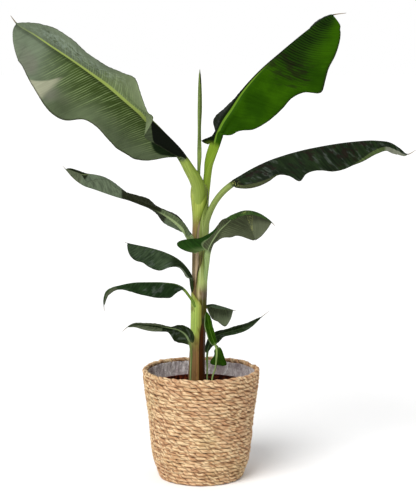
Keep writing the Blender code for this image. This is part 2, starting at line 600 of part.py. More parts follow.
def main():
    clear_scene()
    plant = new_collection("banana_plant_in_basket")
    cutters = new_collection("cutters")
    sockets = new_collection("stem_sockets", cutters)
    holes = new_collection("soil_holes", cutters)
    joined = new_collection("joined_leaves", cutters)

    add_basket(plant)
    add_liner(plant)
    add_nursery_pot(plant)
    soil = add_soil(plant)
    stem = add_object("pseudostem", loft("pseudostem", stem_rings(), paired=False), plant,
                      material("stem", (0.21, 0.23, 0.07), 0.45))
    made = {}
    for leaf in LEAVES:
        paint = material(leaf.name, leaf.colour, 0.45)
        mesh = loft(leaf.name, leaf_rings(leaf), paired=True)
        if leaf.name == "sucker_front_lower_leaf":
            add_cutter(leaf.name, mesh, joined)
            continue
        made[leaf.name] = add_object(leaf.name, mesh, plant, paint)
        if leaf.name.startswith("sucker"):
            add_cutter(leaf.name + "_hole", stalk_cutter(leaf), holes)
        else:
            add_cutter(leaf.name + "_socket", stalk_cutter(leaf), sockets)
    hole = stem_rings(grow=GAP, highest=STEM_HOLE_TOP)
    add_cutter("stem_hole", loft("stem_hole", hole, paired=False), holes)
    cut(stem, sockets)
    cut(soil, holes)
    cut(made["sucker_front"], joined, "UNION")


main()
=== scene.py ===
"""Looks of a young banana plant in a lined rope basket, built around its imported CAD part.

Lengths in the tables are millimetres. Pieces are in metres, +Z up, with the origin at the
centre of the basket's base, as in the CAD part.
"""

import math
from dataclasses import dataclass, replace

import bpy
import numpy as np
from bpy.props import FloatProperty, FloatVectorProperty, IntProperty, PointerProperty
from mathutils import Matrix, Vector, noise


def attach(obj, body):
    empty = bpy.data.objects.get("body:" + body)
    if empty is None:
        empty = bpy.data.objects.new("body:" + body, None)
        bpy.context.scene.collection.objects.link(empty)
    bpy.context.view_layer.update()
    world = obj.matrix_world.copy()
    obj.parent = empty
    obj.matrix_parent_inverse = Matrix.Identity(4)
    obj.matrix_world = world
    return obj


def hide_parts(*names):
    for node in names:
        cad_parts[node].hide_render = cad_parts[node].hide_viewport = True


bl_info = {
    "name": "Banana plant in a rope basket",
    "version": (1, 0, 0),
    "blender": (4, 5, 0),
    "location": "3D View > Sidebar > Banana plant",
    "description": "Builds the visible pieces of a potted banana plant around its CAD part",
    "category": "Object",
}

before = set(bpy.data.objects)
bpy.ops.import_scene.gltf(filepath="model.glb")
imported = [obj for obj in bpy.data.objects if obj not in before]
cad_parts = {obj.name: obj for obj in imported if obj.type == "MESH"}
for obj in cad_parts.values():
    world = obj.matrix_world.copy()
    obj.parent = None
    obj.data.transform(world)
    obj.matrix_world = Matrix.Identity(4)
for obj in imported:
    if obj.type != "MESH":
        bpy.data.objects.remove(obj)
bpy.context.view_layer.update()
MM = 0.001

# Basket, from its base up: height and outer radius at the crests of the rope
BASKET_OUTLINE = [(0, 84), (10, 88), (22, 92), (35, 97), (60, 101), (85, 103.5), (110, 105.5),
                  (135, 108), (160, 112), (200, 117), (221, 118)]
BASKET_HEIGHT = 221.0
BASKET_FLOOR = 8.0
ROPE_ROWS = 28
ROPE_DEPTH = 7.6

# Film inside the basket, nursery pot and the soil that fills it
LINER_TOP = 215.5
LINER_CLEARANCE = 0.65
POT_RIM_HEIGHT = 187.0
POT_RIM_RADIUS = 101.0
POT_RIM_LIP = 2.6
POT_BASE_RADIUS = 73.0
POT_BASE = 9.5
POT_WALL = 1.4
SOIL_TOP = 176.0
SOIL_GAP = 0.6

# Pseudostem: height, middle across, radius across, radius front to back
STEM = [(156.35, -9, 15.5, 15.5), (187, -9, 16.5, 16.5), (230, -8.3, 15.8, 15.8),
        (280, -6.5, 15, 15.2), (320, -5.3, 15, 15.2), (355, -4.3, 15.4, 15.2), (400, -3, 15, 15),
        (430, -2.3, 15.3, 15.3), (482, -1, 16, 16), (520, 0, 16.2, 16), (548, -1.5, 16.5, 15.5),
        (570, -3, 17.5, 15), (588, -4, 16.5, 13), (600, -3, 12, 10.5), (612, -2.5, 7.5, 8)]

TOWARDS_VIEWER = np.array([0.0, -1.0, 0.0])
FULL_TURN = 2 * math.pi


@dataclass
class Leaf:
    """A leaf from the root of its stalk to its tip.

    route: points along the stalk and the midrib. blade: which of them the blade starts and
    ends at. radii: of the stalk at its root, of the stalk at the blade, of the rib at the tip.
    rows: share along the blade, then for the upper half and the lower half its width, its lean
    at the rib and its lean at the edge. A lean of 0 lies in the picture's plane, 90 points at
    the viewer, -90 points away, and 180 is folded over. lobes: how far the base of each half
    reaches back beside the stalk. swept: how far the edge of each half is carried towards the
    tip. blunt: how square the blade's base and tip are. ripple: height and number of the waves
    along the edges.
    """

    name: str
    route: list
    blade: tuple
    radii: tuple
    rows: list
    goes_left: bool
    underside_shows: bool
    lobes: tuple = (8.0, 8.0)
    swept: tuple = (0.0, 0.0)
    blunt: tuple = (2.4, 2.4)
    ripple: tuple = (1.5, 3.0)


LEAVES = [
    Leaf("leaf_upper_left",
         route=[(-3, -7, 529), (-4, -8, 551), (-6, -11, 575), (-11, -16, 599), (-20, -22, 621),
                (-33, -31, 647), (-69, -50, 691), (-107, -68, 729), (-143, -88, 761),
                (-175, -104, 789), (-210, -124, 816), (-243, -142, 840), (-277, -158, 863),
                (-307, -170, 884), (-337, -180, 904), (-347, -186, 918)],
         blade=(5, 14), radii=(12.8, 12, 1.5), goes_left=True, underside_shows=True,
         rows=[(0, 40, 165, 150, 40, 0, 0), (0.05, 45, 161, 128, 68, 0, 0),
               (0.1, 53, 155, 112, 99, 1, 0), (0.15, 61, 147, 111, 108, 3, 0),
               (0.2, 66, 140, 115, 102, 4, 0), (0.26, 74, 128, 110, 97, 6, 5),
               (0.31, 84, 88, 82, 90, 8, 23), (0.36, 92, 86, 80, 86, 8, 31),
               (0.43, 94, 74, 72, 79, 8, 26), (0.5, 97, 63, 63, 81, 7, 13),
               (0.57, 98, 66, 68, 102, 6, 4), (0.65, 96, 71, 73, 107, 6, 7),
               (0.73, 90, 71, 70, 102, 7, 12), (0.81, 81, 61, 59, 91, 8, 14),
               (0.88, 75, 56, 54, 82, 8, 14), (0.95, 72, 63, 61, 86, 8, 14),
               (1, 70, 60, 58, 61, 8, 14)],
         lobes=(10, 16), blunt=(2.2, 3.0), ripple=(1.5, 4.0)),
    Leaf("leaf_upper_right",
         route=[(5, 9, 549), (6, 10, 567), (8, 10, 587), (10, 12, 607), (14, 16, 631),
                (19, 18, 646), (28, 22, 670), (37, 28, 693), (48, 36, 715), (61, 44, 734),
                (85, 60, 770), (118, 80, 808), (166, 106, 851), (222, 134, 897), (249, 146, 917),
                (270, 153, 926), (298, 160, 930)],
         blade=(6, 15), radii=(10.4, 10.6, 1.4), goes_left=False, underside_shows=False,
         rows=[(0, 64, -15, -10, 4, 0, 0), (0.025, 60, -42, -38, 4, 0, 0),
               (0.05, 60, -86, -86, 4, 0, 0), (0.08, 64, -97, -97, 30, 0, 0),
               (0.11, 64, -93, -93, 37, 0, 0), (0.145, 65, -79, -79, 46, 0, 0),
               (0.18, 66, -75, -76, 59, 0, 0), (0.25, 70, -80, -84, 74, 0, 0),
               (0.32, 74, -88, -92, 80, 0, 0), (0.392, 74, -92, -96, 83, 0, 0),
               (0.466, 79, -99, -103, 83, 0, -1), (0.539, 82, -100, -104, 92, 0, 3),
               (0.604, 85, -100, -104, 114, 0, 5), (0.65, 86, -100, -104, 103, 0, 5),
               (0.705, 85, -100, -104, 88, 0, 5), (0.77, 81, -99, -103, 78, 0, 5),
               (0.834, 76, -98, -102, 67, 0, 5), (0.899, 71, -92, -96, 54, 0, 5),
               (0.954, 67, -88, -92, 46, 0, 5), (1, 64, -86, -90, 55, 0, 5)],
         lobes=(16, 6), swept=(4, 30), blunt=(6.0, 6.5), ripple=(2.0, 3.5)),
    Leaf("leaf_right_long",
         route=[(5, -8, 497), (9, -10, 520), (17, -12, 542), (26, -13, 559), (41, -13, 578),
                (60, -12, 594), (93, -10, 616), (136, -4, 637), (196, 6, 655), (256, 16, 667),
                (302, 24, 673), (349, 31, 675), (380, 38, 670), (398, 42, 659), (413, 44, 648),
                (431, 48, 656)],
         blade=(5, 14), radii=(9.8, 7.8, 1.2), goes_left=False, underside_shows=False,
         rows=[(0, 40, -125, -150, 57, 20, 20), (0.06, 47, -143, -154, 62, 20, 16),
               (0.12, 51, -153, -156, 60, 21, 15), (0.18, 51, -151, -156, 52, 24, 18),
               (0.24, 50, -147, -154, 42, 25, 20), (0.3, 50, -140, -150, 49, 25, 20),
               (0.345, 52, -132, -142, 63, 25, 15), (0.39, 52, -127, -137, 51, 25, 17),
               (0.43, 52, -125, -135, 48, 26, 20), (0.48, 54, -125, -135, 50, 30, 20),
               (0.54, 56, -125, -135, 56, 27, 20), (0.6, 56, -125, -135, 56, 25, 20),
               (0.66, 54, -125, -135, 51, 25, 20), (0.73, 49, -119, -129, 45, 25, 20),
               (0.8, 44, -110, -120, 35, 25, 20), (0.86, 37, -101, -111, 27, 25, 20),
               (0.93, 32, -95, -105, 31, 23, 18), (1, 28, -90, -100, 27, 20, 15)],
         lobes=(14, 8), blunt=(2.2, 2.4), ripple=(1.5, 4.5)),
    Leaf("leaf_left_long",
         route=[(-8, -8, 461), (-14, -14, 476), (-24, -21, 494), (-38, -28, 513), (-60, -37, 532),
                (-79, -45, 544), (-103, -54, 555), (-120, -62, 562), (-137, -70, 569),
                (-160, -80, 576), (-182, -90, 584), (-203, -98, 592), (-224, -106, 600),
                (-242, -112, 614), (-256, -118, 631), (-262, -120, 638)],
         blade=(2, 14), radii=(8, 8.4, 1), goes_left=True, underside_shows=True,
         rows=[(0, 24, 72, 70, 22, -30, -40), (0.08, 28, 69, 68, 42, -40, -46),
               (0.16, 36, 69, 69, 46, -50, -54), (0.25, 36, 72, 72, 32, -62, -66),
               (0.34, 27, 66, 67, 36, -75, -80), (0.43, 30, 58, 60, 36, -90, -95),
               (0.52, 26, 54, 53, 36, -104, -112), (0.6, 23, 39, 45, 36, -121, -131),
               (0.66, 23, 27, 37, 36, -134, -144), (0.71, 32, 21, 31, 36, -141, -151),
               (0.77, 29, 21, 30, 35, -144, -152), (0.84, 17, 22, 28, 34, -146, -153),
               (0.92, 30, 22, 23, 34, -148, -156), (1, 22, 20, 20, 32, -150, -158)],
         lobes=(8, 6), blunt=(2.2, 2.4), ripple=(1.5, 4.0)),
    Leaf("leaf_right_folded",
         route=[(7, -8, 411), (11, -15, 438), (15, -30, 464), (23, -38, 484), (34, -47, 503),
                (50, -60, 521), (65, -74, 536), (81, -90, 547), (98, -104, 549), (114, -116, 545),
                (125, -125, 539), (135, -131, 531), (141, -135, 525)],
         blade=(2, 11), radii=(7.2, 5.8, 0.9), goes_left=False, underside_shows=True,
         rows=[(0, 104, 20, 30, 4, 30, 30), (0.04, 108, 15, 25, 4, 25, 25),
               (0.08, 78, 15, 25, 5, 20, 20), (0.12, 36, 17, 24, 8, 17, 17),
               (0.17, 18, 26, 30, 11, 14, 14), (0.22, 10, 30, 35, 16, 10, 10),
               (0.29, 9, 30, 40, 26, 5, 5), (0.36, 13, 35, 50, 33, 0, 5),
               (0.44, 19, 35, 80, 60, 0, 5), (0.52, 25, 45, 125, 57, 0, 5),
               (0.6, 27, 70, 140, 57, 2, 7), (0.68, 26, 85, 140, 55, 5, 10),
               (0.76, 24, 95, 132, 56, 5, 10), (0.84, 21, 103, 116, 56, 5, 10),
               (0.92, 20, 98, 108, 61, 5, 10), (1, 18, 90, 100, 66, 5, 10)],
         lobes=(25, 3), swept=(0, 20), blunt=(5.0, 3.6), ripple=(1.2, 2.5)),
    Leaf("leaf_left_short",
         route=[(-7, -4, 366), (-13, -11, 388), (-19, -16, 408), (-29, -20, 427), (-46, -24, 444),
                (-71, -27, 458), (-100, -31, 468), (-124, -34, 474), (-144, -37, 479),
                (-150, -38, 481)],
         blade=(2, 8), radii=(7.2, 6.6, 0.9), goes_left=True, underside_shows=False,
         rows=[(0, 30, -160, -165, 42, 30, 30), (0.12, 24, -150, -155, 21, 30, 30),
               (0.22, 26, -130, -135, 16, 30, 30), (0.34, 32, -125, -130, 24, 30, 25),
               (0.46, 38, -125, -130, 38, 30, 20), (0.56, 40, -125, -130, 41, 30, 20),
               (0.66, 38, -125, -130, 39, 30, 20), (0.76, 36, -125, -130, 34, 30, 20),
               (0.86, 36, -125, -130, 36, 30, 20), (0.94, 35, -125, -130, 36, 30, 20),
               (1, 34, -125, -130, 32, 30, 20)],
         lobes=(14, 0), blunt=(2.0, 5.0), ripple=(1.2, 3.0)),
    Leaf("leaf_left_drooping",
         route=[(-6, -8, 336), (-14, -14, 356), (-23, -18, 371), (-34, -22, 385), (-47, -25, 393),
                (-71, -30, 398), (-103, -36, 400), (-136, -42, 400), (-159, -46, 396),
                (-176, -48, 391), (-186, -50, 382), (-190, -50, 370), (-191, -50, 358),
                (-190, -49, 345)],
         blade=(3, 12), radii=(5.6, 5, 0.9), goes_left=True, underside_shows=False,
         rows=[(0, 24, -120, -130, 4, 30, 30), (0.07, 28, -124, -134, 29, 30, 26),
               (0.14, 30, -129, -139, 39, 30, 21), (0.22, 30, -130, -140, 37, 30, 19),
               (0.32, 29, -130, -140, 34, 30, 21), (0.42, 27, -130, -140, 29, 33, 26),
               (0.52, 24, -130, -140, 26, 38, 35), (0.62, 18, -130, -140, 21, 45, 45),
               (0.72, 12, -120, -130, 12, 55, 55), (0.85, 10, -70, -80, 17, 60, 60),
               (1, 9, -60, -60, 22, 60, 60)],
         lobes=(8, 4), blunt=(2.4, 2.0), ripple=(1.0, 3.0)),
    Leaf("leaf_right_behind",
         route=[(-3, 6, 322), (3, 15, 334), (11, 22, 342), (21, 23, 345), (36, 16, 344),
                (51, 5, 342), (64, -7, 340), (70, -11, 339)],
         blade=(2, 6), radii=(3.6, 3.6, 0.9), goes_left=False, underside_shows=True,
         rows=[(0, 22, 100, 100, 58, 0, 0), (0.2, 25, 98, 96, 37, 0, 4),
               (0.4, 27, 96, 93, 32, 0, 5), (0.6, 28, 95, 92, 36, 0, 5),
               (0.8, 28, 95, 92, 38, 0, 5), (1, 26, 95, 92, 32, 0, 5)],
         lobes=(4, 4), blunt=(2.4, 6.0), ripple=(0.8, 2.0)),
    Leaf("sucker_leaf_left",
         route=[(-21, -34, 156), (-20, -34, 220), (-19, -36, 259), (-23, -38, 281), (-30, -41, 296),
                (-42, -45, 306), (-61, -50, 312), (-86, -55, 316), (-112, -60, 320),
                (-131, -63, 321), (-143, -65, 317), (-154, -67, 308)],
         blade=(3, 10), radii=(2.6, 2.4, 0.8), goes_left=True, underside_shows=False,
         rows=[(0, 22, 10, 10, 4, 10, 10), (0.1, 22, 20, 20, 25, 10, 9),
               (0.2, 21, 36, 36, 26, 8, 16), (0.3, 17, 50, 50, 24, 22, 27),
               (0.4, 16, 73, 73, 10, 32, 31), (0.5, 16, 69, 69, 10, 30, 30),
               (0.65, 15, 63, 63, 12, 30, 30), (0.8, 13, 61, 61, 11, 30, 30),
               (1, 12, 70, 70, 8, 30, 30)],
         lobes=(10, 16), blunt=(3.0, 2.4), ripple=(0.8, 3.0)),
    Leaf("sucker_leaf_right",
         route=[(12, -14, 156), (12, -14, 226), (13, -14, 256), (17, -14, 273), (24, -14, 284),
                (36, -12, 291), (58, -9, 297), (84, -5, 304), (104, -2, 313), (120, 0, 324),
                (136, 3, 336)],
         blade=(2, 9), radii=(2.3, 2.2, 0.8), goes_left=False, underside_shows=False,
         rows=[(0, 14, 30, 30, 4, 20, 20), (0.12, 13, 47, 47, 11, 18, 18),
               (0.25, 13, 44, 44, 16, 37, 37), (0.4, 13, 49, 49, 8, 47, 47),
               (0.55, 13, 47, 47, 10, 45, 45), (0.75, 12, 43, 43, 9, 45, 45),
               (1, 10, 55, 55, 4, 45, 45)],
         lobes=(6, 4), blunt=(2.6, 2.2), ripple=(0.6, 3.0)),
    Leaf("sucker_front",
         route=[(22, -36, 156), (24, -36, 212), (29, -36, 228), (31, -36, 247), (31, -36, 265),
                (28, -37, 276), (22, -38, 292), (17, -38, 310), (14, -37, 328), (11, -35, 341),
                (10, -34, 349)],
         blade=(5, 9), radii=(2.4, 2, 0.8), goes_left=True, underside_shows=False,
         rows=[(0, 12, 40, 40, 12, 30, 30), (0.3, 11, 50, 50, 11, 40, 40),
               (0.7, 11, 50, 50, 11, 40, 40), (1, 9, 50, 50, 9, 40, 40)],
         lobes=(2, 6), blunt=(2.6, 2.4), ripple=(0.5, 2.0)),
    Leaf("sucker_front_lower_leaf",
         route=[(28, -37, 274), (30, -35, 275), (34, -33, 269), (36, -31, 260), (36, -29, 250),
                (35, -27, 240), (34, -26, 231)],
         blade=(2, 6), radii=(1.4, 1.6, 0.8), goes_left=False, underside_shows=False,
         rows=[(0, 10, 30, 30, 16, 20, 20), (0.35, 9, 20, 20, 10, 10, 10),
               (0.7, 15, 10, 10, 15, 10, 10), (1, 21, 10, 10, 21, 10, 10)],
         lobes=(3, 3), blunt=(2.2, 6.0), ripple=(0.5, 2.0)),
    Leaf("spear_leaf",
         route=[(-3, 9, 549), (-3, 8, 580), (-3, 6, 659), (-3, 4, 703), (-2, 2, 750), (-2, 0, 789),
                (-2, -1, 814), (-2, -1, 818)],
         blade=(2, 6), radii=(4.2, 4.4, 0.9), goes_left=True, underside_shows=False,
         rows=[(0, 3, 0, 0, 3, 0, 0), (0.6, 4, 0, 0, 4, 0, 0), (1, 4, 0, 0, 4, 0, 0)],
         lobes=(0, 0), ripple=(0, 1)),
]


def linear(red, green, blue):
    """A colour from its screen values, each 0 to 255."""
    shares = (red / 255, green / 255, blue / 255)
    return tuple(v / 12.92 if v <= 0.04045 else ((v + 0.055) / 1.055) ** 2.4 for v in shares)


def ease(x):
    """Goes from 0 to 1 as x does, and starts and ends softly."""
    x = np.clip(x, 0.0, 1.0)
    return x * x * (3 - 2 * x)


def mixed(first, second, share):
    return first * (1 - share) + second * share


def unit(vectors):
    return vectors / np.linalg.norm(vectors, axis=-1, keepdims=True)


def smooth(keys, values, at):
    """Values at `at` on a smooth curve through the values that the keys have."""
    keys, values, at = np.asarray(keys, float), np.asarray(values, float), np.asarray(at, float)
    slopes = np.gradient(values, keys, axis=0)
    left = np.clip(np.searchsorted(keys, at) - 1, 0, len(keys) - 2)
    span = keys[left + 1] - keys[left]
    t = ((at - keys[left]) / span).reshape((-1,) + (1,) * (values.ndim - 1))
    span = span.reshape(t.shape)
    return ((2 * t**3 - 3 * t**2 + 1) * values[left] + (t**3 - 2 * t**2 + t) * span * slopes[left]
            + (3 * t**2 - 2 * t**3) * values[left + 1] + (t**3 - t**2) * span * slopes[left + 1])


class Tone:
    """A number's or a colour's socket; sums on it are written as Python expressions."""

    def __init__(self, tree, socket):
        self.tree = tree
        self.socket = socket

    def maths(self, operation, first, second=None):
        node = self.tree.nodes.new("ShaderNodeMath")
        node.operation = operation
        plug(self.tree, node.inputs[0], first)
        if second is not None:
            plug(self.tree, node.inputs[1], second)
        return Tone(self.tree, node.outputs[0])

    def __add__(self, other):
        return self.maths("ADD", self, other)

    def __radd__(self, other):
        return self.maths("ADD", other, self)

    def __sub__(self, other):
        return self.maths("SUBTRACT", self, other)

    def __rsub__(self, other):
        return self.maths("SUBTRACT", other, self)

    def __mul__(self, other):
        return self.maths("MULTIPLY", self, other)

    def __rmul__(self, other):
        return self.maths("MULTIPLY", other, self)

    def __pow__(self, other):
        return self.maths("POWER", self, other)

    def __abs__(self):
        return self.maths("ABSOLUTE", self)

    def floor(self):
        return self.maths("FLOOR", self)

    def wave(self):
        """The sine of this number of turns."""
        return self.maths("SINE", self * FULL_TURN)


def plug(tree, socket, value):
    if isinstance(value, Tone):
        tree.links.new(value.socket, socket)
    elif socket.type == "RGBA":
        socket.default_value = (*value, 1.0)
    else:
        socket.default_value = value


class Paint:
    """A material while it is made."""

    def __init__(self, name):
        self.material = bpy.data.materials.new(name)
        self.material.use_nodes = True
        self.tree = self.material.node_tree
        self.shader = self.tree.nodes["Principled BSDF"]

    def node(self, kind, settings, values, output=0):
        """Adds a node, sets its settings and then its sockets, and gives one of its outputs."""
        node = self.tree.nodes.new("ShaderNode" + kind)
        for name, value in settings.items():
            setattr(node, name, value)
        for socket, value in values.items():
            plug(self.tree, node.inputs[socket], value)
        return Tone(self.tree, node.outputs[output])

    def mix(self, share, first, second):
        """A colour between two colours."""
        return self.node("Mix", {"data_type": "RGBA"}, {0: share, 6: first, 7: second}, 2)

    def shaded(self, colour, amount):
        """The colour times a number."""
        grey = self.vector(amount, amount, amount)
        return self.node("Mix", {"data_type": "RGBA", "blend_type": "MULTIPLY"},
                         {0: 1.0, 6: colour, 7: grey}, 2)

    def vector(self, x, y, z):
        return self.node("CombineXYZ", {}, {0: x, 1: y, 2: z})

    def parts(self, vector):
        return [self.node("SeparateXYZ", {}, {0: vector}, i) for i in range(3)]

    def uv(self, name):
        return self.parts(self.node("UVMap", {"uv_map": name}, {}))[:2]

    def place(self):
        return self.node("TexCoord", {}, {}, "Object")

    def colour_of(self, name):
        return self.node("Attribute", {"attribute_name": name}, {}, "Color")

    def noise(self, vector, scale, detail=2.0, roughness=0.5, distortion=0.0):
        return self.node("TexNoise", {}, {"Vector": vector, "Scale": scale, "Detail": detail,
                                          "Roughness": roughness, "Distortion": distortion})

    def grain(self, x, y, z, detail=2.0, roughness=0.5):
        """Noise over numbers that are counted in its own grains."""
        return self.noise(self.vector(x, y, z), 1.0, detail, roughness)

    def threads(self, noise, wide, thin):
        """Fine lines where a noise passes its middle."""
        return self.step(abs(noise - 0.5), wide, thin)

    def cells(self, vector, scale):
        """The distance from the middle of the nearest cell."""
        return self.node("TexVoronoi", {}, {"Vector": vector, "Scale": scale}, "Distance")

    def mix_number(self, share, first, second):
        return self.node("Mix", {"data_type": "FLOAT"}, {0: share, 2: first, 3: second}, 0)

    def step(self, value, low, high, start=0.0, end=1.0):
        """Goes smoothly from start to end as the value goes from low to high."""
        return self.node("MapRange", {"interpolation_type": "SMOOTHSTEP"},
                         {0: value, 1: low, 2: high, 3: start, 4: end})

    def stretched(self, vector, x, y, z):
        return self.node("Mapping", {}, {"Vector": vector, "Scale": (x, y, z)})

    def bump(self, height, distance):
        return self.node("Bump", {}, {"Distance": distance, "Height": height})

    def finish(self, colour, roughness, normal=None, **constants):
        """Feeds the shader and gives the material. Constants are sockets, with _ for a space."""
        plug(self.tree, self.shader.inputs["Base Color"], colour)
        plug(self.tree, self.shader.inputs["Roughness"], roughness)
        if normal:
            plug(self.tree, self.shader.inputs["Normal"], normal)
        for name, value in constants.items():
            self.shader.inputs[name.replace("_", " ")].default_value = value
        return self.material


def deselect():
    if bpy.context.object and bpy.context.object.mode != "OBJECT":
        bpy.ops.object.mode_set(mode="OBJECT")
    bpy.ops.object.select_all(action="DESELECT")


def named(obj, name, paint=None):
    obj.name = name
    obj.data.name = name
    if paint:
        obj.data.materials.clear()
        obj.data.materials.append(paint)
    return obj


def points_of(obj):
    found = np.zeros(len(obj.data.vertices) * 3)
    obj.data.vertices.foreach_get("co", found)
    return found.reshape(-1, 3)


def put_points(obj, points):
    obj.data.vertices.foreach_set("co", np.asarray(points, float).ravel())
    obj.data.update()


def select_only(obj):
    deselect()
    obj.select_set(True)
    bpy.context.view_layer.objects.active = obj


def joined(objects, name, paint):
    """One object of several, at the origin."""
    deselect()
    for obj in objects:
        obj.select_set(True)
    bpy.context.view_layer.objects.active = objects[0]
    bpy.ops.object.join()
    return named(bpy.context.object, name, paint)


def copy_of(obj):
    made = obj.copy()
    made.data = obj.data.copy()
    bpy.context.collection.objects.link(made)
    return made


def in_edit_mode(obj, *steps):
    """Runs mesh operators on the whole of an object, and shades it smooth."""
    select_only(obj)
    bpy.ops.object.mode_set(mode="EDIT")
    bpy.ops.mesh.select_all(action="SELECT")
    for operator, settings in steps:
        operator(**settings)
    bpy.ops.object.mode_set(mode="OBJECT")
    bpy.ops.object.shade_smooth()


def angles(sides):
    return FULL_TURN * np.arange(sides) / sides


def circle(radius, height, sides):
    return [(radius * math.cos(a), radius * math.sin(a), height) for a in angles(sides)]


def tube_map(along, sides):
    """UVs of a tube: once round each ring, and the ring's own number along it."""
    return np.stack(np.meshgrid(np.linspace(0, 1, sides + 1), along), -1)


def rolled(name, rings, maps, capped=True):
    """A grid rolled into a tube through rings of points, in millimetres. Each map gives the
    UVs of the rings' points, with one more point that closes the ring."""
    rows, size = len(rings), len(rings[0])
    deselect()
    bpy.ops.mesh.primitive_grid_add(x_subdivisions=size, y_subdivisions=rows - 1, size=1.0)
    obj = named(bpy.context.object, name)
    flat = points_of(obj)
    column = np.rint((flat[:, 0] + 0.5) * size).astype(int)
    row = np.rint((flat[:, 1] + 0.5) * (rows - 1)).astype(int)
    put_points(obj, np.asarray(rings)[row, column % size] * MM)
    corners = np.zeros(len(obj.data.loops), int)
    obj.data.loops.foreach_get("vertex_index", corners)
    obj.data.uv_layers[0].name = next(iter(maps))
    for key, values in maps.items():
        layer = obj.data.uv_layers.get(key) or obj.data.uv_layers.new(name=key)
        layer.data.foreach_set("uv", np.asarray(values)[row[corners], column[corners]].ravel())
    steps = [(bpy.ops.mesh.remove_doubles, {"threshold": 1e-6})]
    if capped:
        steps.append((bpy.ops.mesh.fill_holes, {"sides": 0}))
    steps.append((bpy.ops.mesh.normals_make_consistent, {"inside": False}))
    in_edit_mode(obj, *steps)
    return obj


def finished(obj, slot, *nodes):
    """Puts a piece on the part's one body, in the place of its CAD nodes."""
    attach(obj, "root")
    if nodes:
        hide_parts(*nodes)
    return obj


def basket_radius(height):
    heights, radii = zip(*BASKET_OUTLINE)
    return np.interp(height, heights, radii)


def wobble(x, y, z, seed=0.0):
    """A smooth random number from -1 to 1, the same each time for a place."""
    return noise.noise(Vector((x, y, z + 31.7 * seed)))


# Basket

# Points round a row of rope and round the rope itself
WALL_GRID = (372, 14)
BASE_GRID = (144, 8)
# How far the wall's rope stands out of the basket's outline, and its uneven height
ROPE_PROUD = 0.35
WALL_RISE = 0.5
LOWEST_ROW_LIFT = 0.7
# The thicker rope of the top row
TOP_ROPE = 5.0
TOP_ROPE_PROUD = 0.1
TOP_ROW_DROP = 1.3
# Base: rings of rope from its edge to its eye, and the row number that the first one counts as
BASE_RINGS = 11
BASE_REACH = 80.0
BASE_EYE = 2.2
BASE_ROPE = 4.0
BASE_HEIGHT = 4.4
BASE_ROW = 40
# How the plies turn on at the thick places of the rope and from row to row, in radians
KNOT_TWIST = 2.8
ROW_TWIST = 2.4


def rope_paint(settings):
    paint = Paint("rope")
    length, phase = paint.uv("rope")
    spot = paint.place()
    row = paint.parts(spot)[2] * (1 / MM / settings.pitch)
    ply = (phase * 2).floor()
    crest = abs((phase + 0.25).wave())
    piece = paint.grain(length * 55, ply * 3.7, row.floor() * 5.3, 1.0)
    fibre = paint.grain(length * 70, phase * 26, row.floor() * 3.1, 3.0, 0.65)
    hair = paint.grain(length * 260, phase * 70, row.floor() * 7.7, 2.0, 0.6)
    patch = paint.noise(spot, 16.0, 2.0)
    straw = paint.mix(paint.step(piece, 0.38, 0.62), settings.tan, settings.straw)
    green = paint.mix(paint.step(patch, 0.52, 0.7) * 0.3, straw, linear(206, 186, 132))
    pink = paint.mix(paint.step(patch, 0.48, 0.3) * 0.4, green, linear(196, 142, 106))
    # Darker brown flecks where the fibre and piece noises are low
    dark_flecked = paint.mix(paint.step(fibre * 0.6 + piece * 0.4, 0.42, 0.3) * 0.7, pink,
                      linear(142, 92, 52))
    fibred = paint.shaded(dark_flecked, paint.step(fibre, 0.25, 0.75, 0.7, 1.24))
    haired = paint.shaded(fibred, paint.step(hair, 0.3, 0.7, 0.82, 1.14))
    # Painted shade: the rope darkens to the crease colour in the grooves between its plies and
    # along thin gaps between its fibres
    deep = paint.step(crest + piece * 0.5, 0.18, 0.78, 0.95, 0.0)
    strand = paint.grain(length * 90, phase * 120, row.floor() * 2.3)
    fibre_gap_shaded = paint.mix(paint.threads(strand, 0.035, 0.012) * 0.55, haired, settings.crease)
    crease_shaded = paint.mix(deep, fibre_gap_shaded, settings.crease)
    height = crest * 0.5 + fibre * 0.5 + hair * 0.22
    rough = paint.step(fibre, 0.3, 0.8, 0.82, 0.6)
    return paint.finish(crease_shaded, rough, paint.bump(height, 0.0011), Specular_IOR_Level=0.35)


def rope_ring(grid, row, height, radius, thick, turn, rise):
    """One closed row of two-ply rope, as a grid rolled both ways. turn: the length of one
    turn of its plies, in millimetres. rise: how much it wanders up and down."""
    major, minor = grid
    turns = max(2, round(FULL_TURN * radius / turn))
    around = FULL_TURN * np.arange(major + 1) / major
    angle = angles(minor)
    spots = [(math.cos(a), math.sin(a)) for a in around]
    sway = np.array([wobble(3.1 * x, 3.1 * y, row * 0.45) for x, y in spots])[:, None]
    knots = np.array([wobble(8 * x, 8 * y, row * 1.7, 3) for x, y in spots])[:, None]
    phase = angle + turns * around[:, None] + KNOT_TWIST * knots + row * ROW_TWIST
    lobe = np.abs(np.cos(phase))
    size = thick * (1 + 0.24 * knots) * (0.68 + 0.34 * lobe ** 0.8)
    out = radius + 1.0 * sway + size * np.cos(angle)
    up = height + rise * (2.6 * sway + 1.4 * knots) + size * np.sin(angle)
    rings = np.stack([out * np.cos(around)[:, None], out * np.sin(around)[:, None], up], -1)
    rope = np.zeros((major + 1, minor + 1, 2))
    rope[:, :, 0] = around[:, None] * radius * MM + row * 0.37
    rope[:, :, 1] = (np.arange(minor + 1) / minor + turns * around[:, None] / FULL_TURN
                     + (KNOT_TWIST * knots + row * ROW_TWIST) / FULL_TURN)
    return rolled("rope_row", rings, {"rope": rope}, capped=False)


